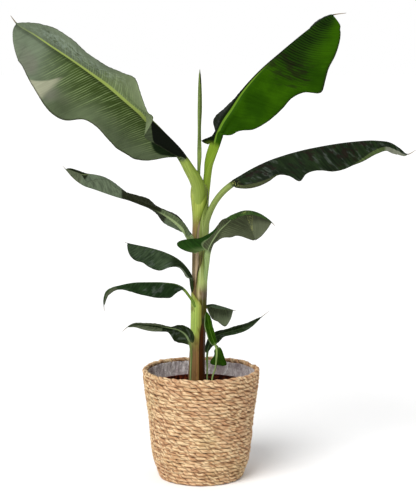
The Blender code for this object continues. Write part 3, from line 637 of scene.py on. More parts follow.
class BasketSettings(bpy.types.PropertyGroup):
    rows: IntProperty(name="Rows", description="Rows of rope up the wall",
                      default=ROPE_ROWS, min=4)
    rope: FloatProperty(name="Rope", description="Radius of the rope in millimetres",
                        default=4.4, min=1.0)
    turn: FloatProperty(name="Turn", description="Length of one turn of the rope's plies, mm",
                        default=36.0, min=5.0)
    pitch: FloatProperty(name="Pitch", description="Height of one row in millimetres",
                         default=BASKET_HEIGHT / ROPE_ROWS, min=1.0)
    tan: FloatVectorProperty(name="Tan", description="Darker plies", subtype="COLOR",
                             default=linear(192, 148, 106), min=0, max=1)
    straw: FloatVectorProperty(name="Straw", description="Lighter plies", subtype="COLOR",
                               default=linear(236, 205, 160), min=0, max=1)
    # Colour of the painted shade in the grooves between the plies and in the gaps between the
    # fibres
    crease: FloatVectorProperty(name="Crease", description="Between the plies",
                                subtype="COLOR", default=linear(88, 54, 30), min=0, max=1)


class PLANT_OT_basket(bpy.types.Operator):
    """Winds the basket's wall and base of two-ply rope"""

    bl_idname = "plant.basket"
    bl_label = "Basket"

    def execute(self, context):
        settings = context.scene.plant_basket
        paint = rope_paint(settings)
        rows = []
        for row in range(settings.rows):
            height = (row + 0.5) * settings.pitch
            thick, proud = settings.rope, ROPE_PROUD
            if row == 0:
                height += LOWEST_ROW_LIFT
            if row == settings.rows - 1:
                height -= TOP_ROW_DROP
                thick, proud = TOP_ROPE, TOP_ROPE_PROUD
            radius = basket_radius(height) - thick + proud
            rows.append(rope_ring(WALL_GRID, row, height, radius, thick, settings.turn,
                                  WALL_RISE))
        middle = len(rows) // 2
        lower = joined(rows[:middle], "rope_rows_lower", paint)
        upper = joined(rows[middle:], "rope_rows_upper", paint)
        rings = []
        for ring in range(BASE_RINGS):
            radius = max(BASE_REACH - ring * settings.pitch, BASE_EYE)
            rings.append(rope_ring(BASE_GRID, BASE_ROW + ring, BASE_HEIGHT, radius, BASE_ROPE,
                                   settings.turn, 0.0))
        bottom = joined(rings, "rope_base", paint)
        finished(upper, "rope", "basket")
        finished(lower, "rope")
        finished(bottom, "rope")
        return {"FINISHED"}


# Liner

LINER_SIDES = 360
LINER_SLACK = 0.2
# The lowest ring where the film shows and how many there are, and the highest one below that
LINER_SHOWS = (160, 44)
LINER_HIDDEN = (150, 12)
LINER_FLOOR_SHARES = (0.7, 0.4, 0.02)
# Heights from which on the folds grow deep, and those where the upper edge grows uneven
FOLDS_FROM, FOLDS_FULL = 120, 180
EDGE_FROM, EDGE_FULL = 190, 209


def film_paint(settings):
    paint = Paint("plastic_film")
    spot = paint.place()
    cloud = paint.noise(spot, 34.0, 3.0)
    fold = paint.noise(paint.stretched(spot, 1.0, 1.0, 0.45), 70.0, 4.0, 0.62, 1.4)
    crease = paint.noise(paint.stretched(spot, 1.0, 1.0, 0.6), 150.0, 2.0, 0.5, 2.2)
    # Painted light and shade of the folds: the Dark and Light colours follow the fold noise, thin
    # lines of painted shade follow the creases, and the glint is a painted highlight
    colour = paint.mix(paint.step(cloud * 0.5 + fold * 0.5, 0.36, 0.64), settings.dark,
                       settings.light)
    wrinkle_shaded = paint.mix(paint.threads(crease, 0.035, 0.008) * 0.6, colour, linear(96, 82, 80))
    glint = paint.mix(paint.step(fold, 0.6, 0.68) * 0.85, wrinkle_shaded, linear(244, 242, 240))
    rough = paint.step(fold, 0.35, 0.7, 0.5, 0.22)
    return paint.finish(glint, rough, paint.bump(fold + crease * 0.5, 0.003), Coat_Weight=0.4,
                        Coat_Roughness=0.2)


class LinerSettings(bpy.types.PropertyGroup):
    wrinkle: FloatProperty(name="Wrinkle", description="Depth of the folds in millimetres",
                           default=1.9, min=0.0)
    film: FloatProperty(name="Film", description="Thickness in millimetres", default=0.35,
                        min=0.05)
    dark: FloatVectorProperty(name="Dark", description="Film in shade", subtype="COLOR",
                              default=linear(168, 154, 155), min=0, max=1)
    light: FloatVectorProperty(name="Light", description="Film in light", subtype="COLOR",
                               default=linear(230, 222, 220), min=0, max=1)


class PLANT_OT_liner(bpy.types.Operator):
    """Hangs the wrinkled plastic film inside the basket"""

    bl_idname = "plant.liner"
    bl_label = "Liner"

    def execute(self, context):
        settings = context.scene.plant_liner
        floor = BASKET_FLOOR + 0.4
        heights = np.concatenate([np.linspace(LINER_TOP, *LINER_SHOWS),
                                  np.linspace(LINER_HIDDEN[0], floor, LINER_HIDDEN[1])])
        rings = [self.ring(height, settings.wrinkle) for height in heights]
        reach = basket_radius(floor) - ROPE_DEPTH - 1
        rings += [circle(reach * share, floor, LINER_SIDES) for share in LINER_FLOOR_SHARES]
        spread = tube_map(np.linspace(0, 1, len(rings)), LINER_SIDES)
        liner = rolled("film_liner", rings, {"film": spread}, capped=False)
        self.close_floor(liner)
        wall = liner.modifiers.new("film", "SOLIDIFY")
        wall.thickness = settings.film * MM
        wall.offset = 1.0
        bpy.context.view_layer.objects.active = liner
        bpy.ops.object.modifier_apply(modifier=wall.name)
        named(liner, "film_liner", film_paint(settings))
        finished(liner, "plastic_film", "liner")
        return {"FINISHED"}

    @staticmethod
    def ring(height, wrinkle):
        """One ring of the wall, with its folds and the uneven upper edge."""
        depth = ease((height - FOLDS_FROM) / (FOLDS_FULL - FOLDS_FROM)) * wrinkle
        radius = basket_radius(height) - ROPE_DEPTH - LINER_CLEARANCE - LINER_SLACK
        raised = ease((height - EDGE_FROM) / (EDGE_FULL - EDGE_FROM))
        ring = []
        for a in angles(LINER_SIDES):
            x, y = math.cos(a), math.sin(a)
            fold = (abs(wobble(13 * x, 13 * y, height / 40)) * 2.2
                    + 0.7 * abs(wobble(31 * x, 31 * y, height / 14, 2)))
            edge = 2.2 * wobble(5 * x, 5 * y, 0, 5) + 1.2 * wobble(17 * x, 17 * y, 0, 6)
            ring.append(((radius - depth * fold) * x, (radius - depth * fold) * y,
                         height + (edge - 1.5) * raised))
        return ring

    @staticmethod
    def close_floor(liner):
        """Fills the small hole in the middle of the floor, and leaves the top open."""
        points = points_of(liner)
        lowest = points[:, 2] < points[:, 2].min() + 0.001
        select_only(liner)
        bpy.ops.object.mode_set(mode="EDIT")
        bpy.ops.mesh.select_all(action="DESELECT")
        bpy.ops.object.mode_set(mode="OBJECT")
        chosen = lowest & (np.hypot(points[:, 0], points[:, 1]) < 0.003)
        liner.data.vertices.foreach_set("select", chosen)
        bpy.ops.object.mode_set(mode="EDIT")
        bpy.ops.mesh.select_mode(type="VERT")
        bpy.ops.mesh.edge_face_add()
        bpy.ops.mesh.select_all(action="SELECT")
        bpy.ops.mesh.normals_make_consistent(inside=True)
        bpy.ops.object.mode_set(mode="OBJECT")


# Nursery pot and soil

POT_SIDES = 128
# Radius inside which the pot is painted in the soil's dark browns
POT_DARK_INSIDE = 97.6
SOIL_SIDES = 200
SOIL_RINGS = 62
# How high its lumps are, and how wide the level margin along the pot is
SOIL_LUMP = 4.0
SOIL_MARGIN = 12.0
CRUMB_SEED = 7


def pot_radius(height):
    share = (height - POT_BASE) / (POT_RIM_HEIGHT - POT_BASE)
    return POT_BASE_RADIUS + (POT_RIM_RADIUS - POT_RIM_LIP - POT_BASE_RADIUS) * share


def pot_paint():
    paint = Paint("pot_plastic")
    spot = paint.place()
    dust = paint.noise(spot, 120.0, 3.0)
    grain = paint.noise(spot, 900.0, 1.0)
    plain = paint.mix(paint.step(dust, 0.45, 0.75) * 0.5, linear(92, 34, 20),
                      linear(122, 62, 42))
    x, y, z = paint.parts(spot)
    inside = paint.step(x * x + y * y, (POT_DARK_INSIDE * MM) ** 2 + 0.0001, (POT_DARK_INSIDE * MM) ** 2)
    clod = paint.noise(spot, 130.0, 3.0, 0.6)
    # Inside that radius the pot's wall and the inner edge of its rim take the soil's dark browns
    inner_browns = paint.mix(paint.step(clod, 0.45, 0.7), linear(28, 5, 1), linear(104, 42, 20))
    colour = paint.mix(inside * 0.95, plain, inner_browns)
    return paint.finish(colour, paint.step(dust, 0.3, 0.7, 0.45, 0.7),
                        paint.bump(grain, 0.0002), Specular_IOR_Level=0.05)


def soil_paint(settings):
    paint = Paint("soil")
    spot = paint.place()
    clod = paint.noise(spot, 160.0, 4.0, 0.65)
    crumb = paint.cells(spot, 420.0)
    tone = paint.mix(paint.step(clod, 0.35, 0.7), settings.dark, settings.light)
    # Painted shade between crumbs: darker towards the edge of each crumb's cell, lighter at its
    # middle
    colour = paint.shaded(tone, paint.step(crumb, 0.0, 0.6, 1.15, 0.7))
    height = clod * 0.7 + crumb * 0.5
    return paint.finish(colour, 0.95, paint.bump(height, 0.003), Specular_IOR_Level=0.02)


def soil_lump(x, y):
    """How far the top of the soil rises or sinks at a place, in millimetres."""
    away = Vector((x / 19.0, y / 19.0, 0.4))
    broad = SOIL_LUMP * noise.noise(away) + 0.5 * SOIL_LUMP * noise.noise(away * 2.3)
    return broad + 0.9 * noise.noise(away * 6.1) + 0.45 * noise.noise(away * 13.0)


class SoilSettings(bpy.types.PropertyGroup):
    crumbs: IntProperty(name="Crumbs", description="Loose crumbs on the soil", default=620,
                        min=0)
    dark: FloatVectorProperty(name="Dark", description="Damp soil", subtype="COLOR",
                              default=linear(20, 5, 1), min=0, max=1)
    light: FloatVectorProperty(name="Light", description="Dry crumbs", subtype="COLOR",
                               default=linear(66, 30, 14), min=0, max=1)


class PLANT_OT_pot(bpy.types.Operator):
    """Turns the plastic nursery pot with its rolled rim"""

    bl_idname = "plant.pot"
    bl_label = "Nursery pot"

    def execute(self, context):
        top, edge, floor = POT_RIM_HEIGHT, POT_RIM_RADIUS, POT_BASE + POT_WALL
        inner = [(pot_radius(z) - POT_WALL, z) for z in (60, 120, top - 2)]
        rim = [(pot_radius(top) - POT_WALL + 0.5, top - 0.4), (edge - 2.4, top),
               (edge - 0.8, top - 0.2), (edge, top - 1.2), (edge, top - 7.4),
               (edge - 0.5, top - 8.0)]
        outer = [(pot_radius(z), z) for z in (top - 8.5, 120, 60, POT_BASE + 4)]
        profile = [(0.5, floor), (pot_radius(POT_BASE) - POT_WALL, floor), *inner, *rim, *outer,
                   (pot_radius(POT_BASE) - 2, POT_BASE), (0.5, POT_BASE)]
        rings = [circle(radius, height, POT_SIDES) for radius, height in profile]
        spread = tube_map(np.linspace(0, 1, len(rings)), POT_SIDES)
        pot = rolled("pot_with_rim", rings, {"pot": spread})
        named(pot, "pot_with_rim", pot_paint())
        finished(pot, "pot_plastic", "nursery_pot")
        return {"FINISHED"}


class PLANT_OT_soil(bpy.types.Operator):
    """Fills the pot with lumpy soil and strews crumbs on it"""

    bl_idname = "plant.soil"
    bl_label = "Soil"

    def execute(self, context):
        settings = context.scene.plant_soil
        paint = soil_paint(settings)
        base = POT_BASE + POT_WALL + 0.5
        edge = pot_radius(SOIL_TOP) - POT_WALL - SOIL_GAP
        rings = []
        for radius in np.concatenate([[0.4], np.linspace(1.6, edge, SOIL_RINGS)]):
            fade = ease((edge - radius) / SOIL_MARGIN)
            rings.append([(x, y, z + fade * soil_lump(x, y))
                          for x, y, z in circle(radius, SOIL_TOP, SOIL_SIDES)])
        for z in (100, base):
            rings.append(circle(pot_radius(z) - POT_WALL - SOIL_GAP, z, SOIL_SIDES))
        rings.append(circle(0.4, base, SOIL_SIDES))
        spread = tube_map(np.linspace(0, 1, len(rings)), SOIL_SIDES)
        soil = rolled("soil_filling", rings, {"soil": spread})
        named(soil, "soil_filling", paint)
        finished(soil, "soil", "soil")
        finished(self.strewn(settings.crumbs, edge, paint), "soil")
        return {"FINISHED"}

    @staticmethod
    def strewn(count, edge, paint):
        """One object of many uneven crumbs that lie on the soil."""
        deselect()
        bpy.ops.mesh.primitive_ico_sphere_add(subdivisions=2, radius=1.0)
        crumb = bpy.context.object
        draw = np.random.default_rng(CRUMB_SEED)
        shape = points_of(crumb)
        for i, point in enumerate(shape):
            shape[i] *= 1 + 0.5 * wobble(*(point * 1.4))
        put_points(crumb, shape)
        pieces = []
        # Most crumbs are small; a few reach 2.7 mm
        for _ in range(count):
            radius = (edge - 3) * math.sqrt(draw.random())
            angle = FULL_TURN * draw.random()
            x, y = radius * math.cos(angle), radius * math.sin(angle)
            size = 0.7 + 2.0 * draw.random() ** 3
            turn = Matrix.Rotation(6.3 * draw.random(), 3, Vector(draw.normal(size=3)))
            squash = np.array([1.0, 0.6 + 0.4 * draw.random(), 0.5 + 0.4 * draw.random()])
            fade = ease((edge - radius) / SOIL_MARGIN)
            z = SOIL_TOP + soil_lump(x, y) * fade + 0.3 * size
            made = copy_of(crumb)
            points = (shape * squash * size) @ np.array(turn).T
            put_points(made, (points + (x, y, z)) * MM)
            pieces.append(made)
        bpy.data.objects.remove(crumb)
        whole = joined(pieces, "soil_crumbs", paint)
        in_edit_mode(whole)
        return whole


# Pseudostem

# The top of the pseudostem, drawn in between the stalks that hide it
STEM_TOP = [(588, -4, 15, 12), (600, -7, 8, 8), (611, -10, 2.5, 3)]

# Sheaths from the innermost out: which side of its edge it covers, the edge as height and place
# across, the heights between which its colours turn, its colours above them beside the edge and
# at the far side, the same below them, the colour of its rim, and its highest point. The first
# one's colours below its turn are its own browns with painted shadow under the lower leaves'
# stalks, and its pale band beside the edge is partly a painted highlight
SHEATHS = [
    ("left", [(560, -2), (500, -2), (462, -3), (446, -4.5), (434, -4.5), (424, -6.5),
              (416, -8), (396, -10), (340, -11)], (420, 385),
     (174, 154, 124), (98, 82, 36), (118, 100, 56), (70, 44, 14), (160, 134, 104), 560),
    ("right", [(400, -9), (330, -12)], (380, 364),
     (146, 128, 94), (84, 72, 50), (104, 100, 16), (66, 62, 10), (104, 98, 20), 400),
    ("right", [(330, -12), (176, -12)], (322, 300),
     (82, 80, 10), (42, 46, 6), (82, 32, 2), (68, 32, 2), (92, 46, 12), 330),
    ("left", [(640, 40), (600, 22), (582, 12.6), (564, 12.6), (552, 10.4), (536, 4.1),
              (526, 0.1), (518, -3.8), (506, -7), (486, -9.8), (470, -14)], (536, 500),
     (104, 124, 30), (158, 172, 78), (150, 124, 76), (140, 116, 66), (112, 130, 40), 640),
    ("right", [(562, 13), (556, 12), (540, 5), (520, -0.9), (498, -3.3), (477, -3.8),
               (455, -5)], (520, 470),
     (128, 146, 70), (118, 134, 70), (118, 126, 66), (108, 116, 62), (146, 160, 84), 566),
    ("right", [(484, 9), (470, 5), (458, 4), (446, 3.4), (440, 2), (434, 1), (428, -1.5),
               (416, -5.8), (406, -7), (396, -7.8), (386, -8.8), (366, -8.2)], (400, 372),
     (124, 138, 70), (152, 166, 98), (162, 148, 104), (90, 78, 58), (112, 108, 54), 484),
    ("left", [(382, -22), (373, -14.5), (365, -8.5), (357, -1.8), (350, 1.1), (314, 1.1),
              (305, -1), (295, -2.2), (281, -3.2), (265, -4), (176, -4.4)], (300, 250),
     (134, 138, 58), (150, 172, 80), (148, 108, 64), (128, 100, 62), (118, 106, 46), 382),
]
SHEATH_WIDTH = 13.0
SHEATH_THICK = 0.8
SOFT_TOP = 9.0
# The colour under the sheaths, and the depths y between which their edges start to wander
STEM_GROUND = (92, 84, 42)
BACK_FROM, BACK_FULL = -4, 4


def stem_place(z):
    """Middle across and radii of the pseudostem, without the steps of the sheaths."""
    table = np.array(STEM[:-3] + STEM_TOP, float)
    return smooth(table[:, 0], table[:, 1:], np.atleast_1d(z))[0]


def stem_colour_and_step(x, y, z):
    """The colour of the sheath that shows at a place, and how proud it stands."""
    colour = np.array(linear(*STEM_GROUND))
    proud = 0.0
    back = ease((y - BACK_FROM) / (BACK_FULL - BACK_FROM))
    for side, edge, turn, *tones, highest in SHEATHS:
        if z > highest:
            continue
        near_top, far_top, near_foot, far_foot, rim_tone = [np.array(linear(*tone))
                                                            for tone in tones]
        heights, places = zip(*sorted(edge))
        border = np.interp(z, heights, places) + back * 4 * math.sin(z / 21)
        away = (border - x) if side == "left" else (x - border)
        faded = ease((highest - z) / SOFT_TOP)
        inside = ease(away + 0.5) * faded
        if heights[0] > SOIL_TOP + 10:
            inside *= ease((z - heights[0] + 8) / 14)
        # Below the turn the colours go over to the foot colours: the sheaths' own browns, and on
        # the first sheath painted shadow as well
        aged_and_shaded = ease((turn[0] - z) / (turn[0] - turn[1]))
        tone = mixed(mixed(near_top, near_foot, aged_and_shaded), mixed(far_top, far_foot, aged_and_shaded),
                     ease(away / SHEATH_WIDTH))
        tone = mixed(tone, rim_tone, 0.6 * math.exp(-((away - 1.0) / 0.8) ** 2))
        shadow = 0.5 * math.exp(-((away + 0.9) / 1.2) ** 2) * faded
        colour = mixed(colour * (1 - shadow), tone, inside)
        proud = proud * (1 - 0.5 * inside) + SHEATH_THICK * inside
    return colour, proud


def stem_paint():
    paint = Paint("stem")
    tone = paint.colour_of("tone")
    spot = paint.place()
    streak = paint.noise(paint.stretched(spot, 260.0, 260.0, 9.0), 1.0, 3.0, 0.6)
    line = paint.noise(paint.stretched(spot, 900.0, 900.0, 5.0), 1.0, 2.0)
    mottle = paint.noise(paint.stretched(spot, 90.0, 90.0, 34.0), 1.0, 3.0, 0.6)
    fray = paint.noise(paint.stretched(spot, 700.0, 700.0, 160.0), 1.0, 3.0, 0.7)
    height = paint.parts(spot)[2]
    stained = paint.mix(paint.step(mottle, 0.56, 0.7) * paint.step(height, 0.52, 0.36, 0.0, 0.5),
                        tone, linear(78, 38, 20))
    # Whitish streaks from 0.30 to 0.42 m up: partly the sheaths' own waxy coat, partly a painted
    # sheen
    bloom_and_sheen_mix = paint.mix(paint.step(streak, 0.58, 0.76) * paint.step(height, 0.30, 0.42, 0.0, 0.3),
                        stained, linear(196, 196, 172))
    torn = (paint.step(abs(height - 0.462), 0.02, 0.006)
            + paint.step(abs(height - 0.522), 0.016, 0.004))
    frayed = paint.mix(paint.step(fray, 0.64, 0.68) * torn * 0.8, bloom_and_sheen_mix, linear(214, 200, 160))
    colour = paint.shaded(frayed, paint.step(streak, 0.25, 0.75, 0.7, 1.25))
    rough = paint.step(streak, 0.3, 0.7, 0.4, 0.55)
    return paint.finish(colour, rough, paint.bump(line + streak * 0.6, 0.0004),
                        Specular_IOR_Level=0.12)


class StemSettings(bpy.types.PropertyGroup):
    sides: IntProperty(name="Sides", description="Points around the pseudostem", default=120,
                       min=24)
    step: FloatProperty(name="Step", description="Height of one ring in millimetres",
                        default=1.6, min=0.5)


class PLANT_OT_stem(bpy.types.Operator):
    """Wraps the pseudostem in its coloured leaf sheaths"""

    bl_idname = "plant.stem"
    bl_label = "Pseudostem"

    def execute(self, context):
        settings = context.scene.plant_stem
        table = np.array(STEM, float)
        heights = np.arange(table[0, 0], STEM_TOP[-1][0], settings.step)
        rings = []
        for z in heights:
            middle, wide, deep = stem_place(z)
            ring = []
            for a in angles(settings.sides):
                x, y = wide * math.cos(a), deep * math.sin(a)
                proud = stem_colour_and_step(middle + x, y, z)[1]
                flute = 0.25 * wobble(x / 3, y / 3, z / 60)
                grow = 1 + (proud - SHEATH_THICK / 2 + flute) / wide
                ring.append((middle + x * grow, y * grow, z))
            rings.append(ring)
        spread = tube_map(heights * MM, settings.sides)
        stem = rolled("pseudostem_sheaths", rings, {"stem": spread})
        self.tint(stem)
        named(stem, "pseudostem_sheaths", stem_paint())
        finished(stem, "stem", "pseudostem")
        return {"FINISHED"}

    @staticmethod
    def tint(stem):
        """Stores the sheaths' colours on the points."""
        layer = stem.data.color_attributes.new("tone", "FLOAT_COLOR", "POINT")
        tones = [(*stem_colour_and_step(*(point / MM))[0], 1.0) for point in points_of(stem)]
        layer.data.foreach_set("color", np.array(tones).ravel())


# Leaves

@dataclass
class Look:
    """The finish of one leaf; colours are screen values from 0 to 255.

    upper, upper_light: the upper face. far_half_shade: the painted shade of its half that turns
    away. near_rib, under, bloom: the lower face beside the rib, further out, and towards the
    tip from the share bloom_from on; on the large leaf that last colour is partly a painted
    sheen. rib, rib_wide: the midrib and how much of its relief is pale, from the share
    rib_from to rib_to, moved by rib_shift, in metres. rib_shade: how dark the line below it
    is. stalk, stalk_back, foot: the stalk's two sides at the blade, and its root. blotch,
    stripe, cracks: strength of the maroon blotches, the dark stripes and the pale tears, and
    the shares they lie between. sheen, pale_veins, gloss: strengths. slant: how far a vein
    runs on towards the tip for each unit across. smooth: whether its shades run in broad
    clouds. shaded_base: the share up to which the upper face is painted nearly black, as
    painted shade. bands: where a fold shows another face or lies in painted shade, as the
    half (1 or -1), the shares it starts and ends at, the reach of its border there, the side
    of the border (1 outwards, -1 inwards) and its colour. band_end: how soft their ends are,
    in shares. band_slant: how far they lean, in shares from the rib to a margin. fold_rim:
    the line along such a border, where it differs from the rib. seed: which of the random
    grains it has.
    """

    upper: tuple = (34, 52, 26)
    upper_light: tuple = (52, 72, 40)
    far_half_shade: tuple = None
    near_rib: tuple = (74, 90, 50)
    under: tuple = (92, 106, 82)
    bloom_and_sheen: tuple = (118, 130, 108)
    bloom_from: float = 0.75
    rib: tuple = (110, 128, 76)
    rib_wide: float = 0.6
    rib_from: float = -1.0
    rib_to: float = 0.9
    rib_shift: float = 0.0
    rib_shade: float = 0.0
    stalk: tuple = (148, 166, 88)
    stalk_back: tuple = (128, 150, 96)
    foot: tuple = (140, 160, 84)
    blotch: tuple = (0.0, 0.0, 1.0)
    stripe: tuple = (0.0, 0.0, 1.0)
    cracks: tuple = (0.0, 0.0, 1.0)
    sheen: float = 0.0
    pale_veins: float = 0.3
    gloss: float = 0.04
    slant: float = 0.3
    smooth: bool = False
    shaded_base: float = 0.0
    fold_and_shade_bands: tuple = ()
    band_end: float = 0.012
    band_slant: float = 0.0
    fold_rim: tuple = None
    seed: float = 0.0


LOOKS = {
    "leaf_upper_left": Look(
        upper=(20, 35, 13), upper_light=(36, 56, 24), near_rib=(66, 84, 36),
        under=(88, 100, 72), bloom_and_sheen=(110, 122, 100), bloom_from=0.74, rib=(166, 184, 94),
        rib_wide=0.95, rib_from=0.21, rib_to=0.95, rib_shift=0.0016, rib_shade=0.4,
        stalk=(158, 176, 88), stalk_back=(108, 128, 44), foot=(142, 166, 62), pale_veins=0.62,
        slant=0.55, shaded_base=0.3, fold_rim=(72, 88, 54), seed=1.0,
        fold_and_shade_bands=((-1, 0.0, 0.23, 1.15, 0.0, -1, (22, 36, 15)),
               (1, 0.185, 0.255, 1.0, -0.1, 1, (82, 94, 66)))),
    "leaf_upper_right": Look(
        upper=(30, 62, 1), upper_light=(46, 84, 2), far_half_shade=(13, 22, 3), rib=(92, 126, 34),
        rib_wide=0.28, rib_to=0.5, near_rib=(30, 46, 16), under=(40, 56, 26),
        bloom_and_sheen=(54, 68, 42), stalk=(110, 136, 38),
        stalk_back=(134, 156, 60), foot=(144, 162, 68), blotch=(0.6, 0.5, 0.68),
        stripe=(0.95, 0.55, 1.1), slant=0.35, smooth=True,
        gloss=0.02, seed=2.0, band_end=0.09,
        fold_and_shade_bands=((1, -0.3, 0.62, -0.1, -0.1, 1, (12, 22, 4)),)),
    "leaf_right_long": Look(
        upper=(15, 23, 12), upper_light=(28, 42, 20), far_half_shade=(17, 23, 14), rib=(30, 38, 24),
        blotch=(0.9, 0.0, 0.8), sheen=0.4, stalk=(126, 142, 78), stalk_back=(132, 148, 80),
        foot=(152, 166, 94), slant=0.45, cracks=(0.8, -0.012, 0.03), seed=3.0,
        fold_and_shade_bands=((-1, 0.03, 0.27, 0.62, 0.98, 1, (62, 68, 42)),
               (-1, 0.66, 0.88, 0.98, 0.45, 1, (66, 80, 44)),
               (-1, 0.86, 1.1, 0.5, 0.2, 1, (112, 116, 100)))),
    "leaf_left_long": Look(
        upper=(26, 32, 18), upper_light=(38, 46, 28), near_rib=(94, 108, 74),
        under=(98, 112, 88), bloom_and_sheen=(106, 120, 100), bloom_from=0.5, rib=(160, 178, 124),
        rib_wide=0.9, rib_to=0.26, stalk=(156, 176, 112), stalk_back=(130, 150, 90),
        foot=(140, 160, 96), slant=0.4, seed=4.0, band_slant=-0.035,
        fold_and_shade_bands=((1, 0.27, 0.57, -0.1, -0.1, 1, (34, 38, 22)),
               (1, 0.05, 0.28, 0.8, 0.5, 1, (36, 44, 24)),
               (-1, 0.2, 0.56, 0.1, 0.0, 1, (42, 48, 30)),
               (-1, 0.57, 0.86, -0.1, -0.1, 1, (106, 120, 98)),
               (1, 0.57, 0.86, -0.1, -0.1, 1, (92, 104, 82)),
               (1, 0.86, 1.1, -0.1, -0.1, 1, (84, 92, 70)),
               (-1, 0.8, 1.1, 1.05, 0.0, 1, (32, 42, 22)))),
    "leaf_right_folded": Look(
        upper=(24, 46, 14), upper_light=(54, 78, 34), near_rib=(66, 72, 50),
        under=(76, 82, 60), bloom_and_sheen=(84, 90, 68), rib=(136, 154, 108), rib_wide=0.28,
        rib_to=0.55, stalk=(146, 166, 108), stalk_back=(120, 142, 84), foot=(134, 142, 80),
        pale_veins=0.15, slant=0.4, cracks=(0.6, 0.68, 0.76), seed=5.0,
        fold_and_shade_bands=((1, -0.3, 0.26, 0.12, 0.2, 1, (32, 62, 17)),)),
    "leaf_left_short": Look(
        upper=(32, 45, 28), upper_light=(60, 75, 52), rib=(58, 72, 44), sheen=0.5,
        stalk=(42, 58, 28), stalk_back=(36, 50, 24), foot=(70, 72, 36), slant=0.5, seed=6.0,
        band_end=0.06, band_slant=-0.06,
        fold_and_shade_bands=((1, -0.1, 0.4, -0.1, -0.1, 1, (26, 37, 19)),
               (-1, -0.1, 0.4, -0.1, -0.1, 1, (26, 37, 19)),
               (-1, -0.05, 0.3, 0.5, 0.8, 1, (92, 102, 82)))),
    "leaf_left_drooping": Look(
        upper=(19, 35, 14), upper_light=(36, 55, 29), rib=(72, 94, 46), sheen=0.38,
        stalk=(112, 138, 54), stalk_back=(94, 118, 48), foot=(166, 188, 96), slant=0.5,
        seed=7.0,
        fold_and_shade_bands=((1, -0.1, 0.5, -0.1, -0.1, 1, (20, 37, 15)),
               (-1, 0.74, 1.1, 0.2, 0.1, 1, (68, 74, 56)),
               (1, 0.74, 1.1, 0.3, 0.1, 1, (48, 54, 40)))),
    "leaf_right_behind": Look(
        near_rib=(84, 94, 68), under=(98, 108, 82), bloom_and_sheen=(98, 108, 84), pale_veins=0.2,
        seed=8.0),
    "sucker_leaf_left": Look(
        upper=(22, 34, 12), upper_light=(40, 52, 28), rib=(118, 136, 92), rib_wide=0.9,
        rib_to=0.5, sheen=0.5, stalk=(106, 120, 60), foot=(80, 88, 40), seed=9.0,
        fold_and_shade_bands=((1, 0.42, 1.1, 0.1, 0.1, 1, (80, 88, 66)),
               (-1, 0.5, 1.1, 0.2, 0.0, 1, (82, 90, 68)))),
    "sucker_leaf_right": Look(
        upper=(22, 34, 14), upper_light=(36, 52, 26), rib=(66, 84, 48), rib_wide=0.4,
        sheen=0.3, stalk=(84, 104, 52), foot=(112, 130, 66), seed=10.0),
    "sucker_front": Look(
        upper=(28, 56, 2), upper_light=(44, 78, 6), rib=(66, 98, 24), rib_wide=0.5,
        stalk=(132, 154, 84), foot=(140, 156, 84), seed=11.0,
        fold_and_shade_bands=((-1, 0.0, 1.0, 0.86, 0.8, 1, (120, 140, 92)),)),
    "sucker_front_lower_leaf": Look(
        upper=(30, 56, 4), upper_light=(42, 74, 10), rib=(60, 90, 24), stalk=(120, 146, 70),
        seed=12.0),
    "spear_leaf": Look(
        upper=(96, 114, 58), upper_light=(120, 138, 78), near_rib=(104, 120, 66),
        under=(112, 130, 80), stalk=(124, 144, 74), stalk_back=(92, 112, 54),
        foot=(120, 142, 70), rib=(78, 96, 50), rib_wide=0.3, seed=13.0,
        fold_and_shade_bands=((1, 0.12, 1.2, -0.1, -0.1, 1, (74, 88, 40)),
               (1, 0.84, 1.2, -0.1, -0.1, 1, (46, 50, 26)))),
}
SLOTS = {"leaf_upper_left": "leaf_underside_pale", "leaf_upper_right": "leaf_bright",
         "leaf_left_long": "leaf_underside_pale", "leaf_right_behind": "leaf_underside_pale",
         "sucker_front": "leaf_bright", "spear_leaf": "stem"}

# Colours that the leaves share
BLOTCH = linear(26, 20, 14)
SHEEN = linear(92, 100, 92)
SHADED_BASE = linear(13, 18, 9)
STRIPE = linear(9, 15, 5)
STRIPED_GROUND = linear(18, 33, 10)
PALE_VEIN = linear(156, 176, 120)
LILAC = linear(122, 118, 108)
LIT = linear(166, 182, 136)
LIT_FACET = linear(176, 176, 150)
FROST_AND_SHEEN = linear(150, 164, 148)
FROST_GAP = linear(52, 66, 42)
CRACK = linear(188, 192, 110)
RIB_SHADE = linear(26, 34, 8)
MARGIN = linear(46, 48, 30)
STALK_EDGE = linear(92, 84, 36)
DRY = linear(128, 110, 84)


class LeafGround:
    """What the layers of a leaf's paint share: places on the blade and its grain."""

    def __init__(self, paint, look, length):
        self.across, self.along = paint.uv("blade")
        self.reach, self.under = paint.uv("face")
        self.share = self.along * (1 / length)
        self.half = paint.step(self.across, -0.0001, 0.0001)
        self.way = self.along - abs(self.across) * look.slant - (self.reach ** 2) * 0.008
        seed = look.seed
        self.streak = paint.grain(self.way * 240, self.reach * 1.4, seed, 3.0, 0.6)
        self.fine = paint.grain(self.way * 950, self.reach * 2.2, seed)
        self.cloud = paint.grain(self.along * 22, self.across * 22, seed, 3.0)
        self.broad = paint.grain(self.along * 11, self.across * 14, seed + 5, 1.0)

    def between(self, paint, first, last, soft=0.06):
        return (paint.step(self.share, first - soft, first + soft)
                * paint.step(self.share, last + soft, last - soft))


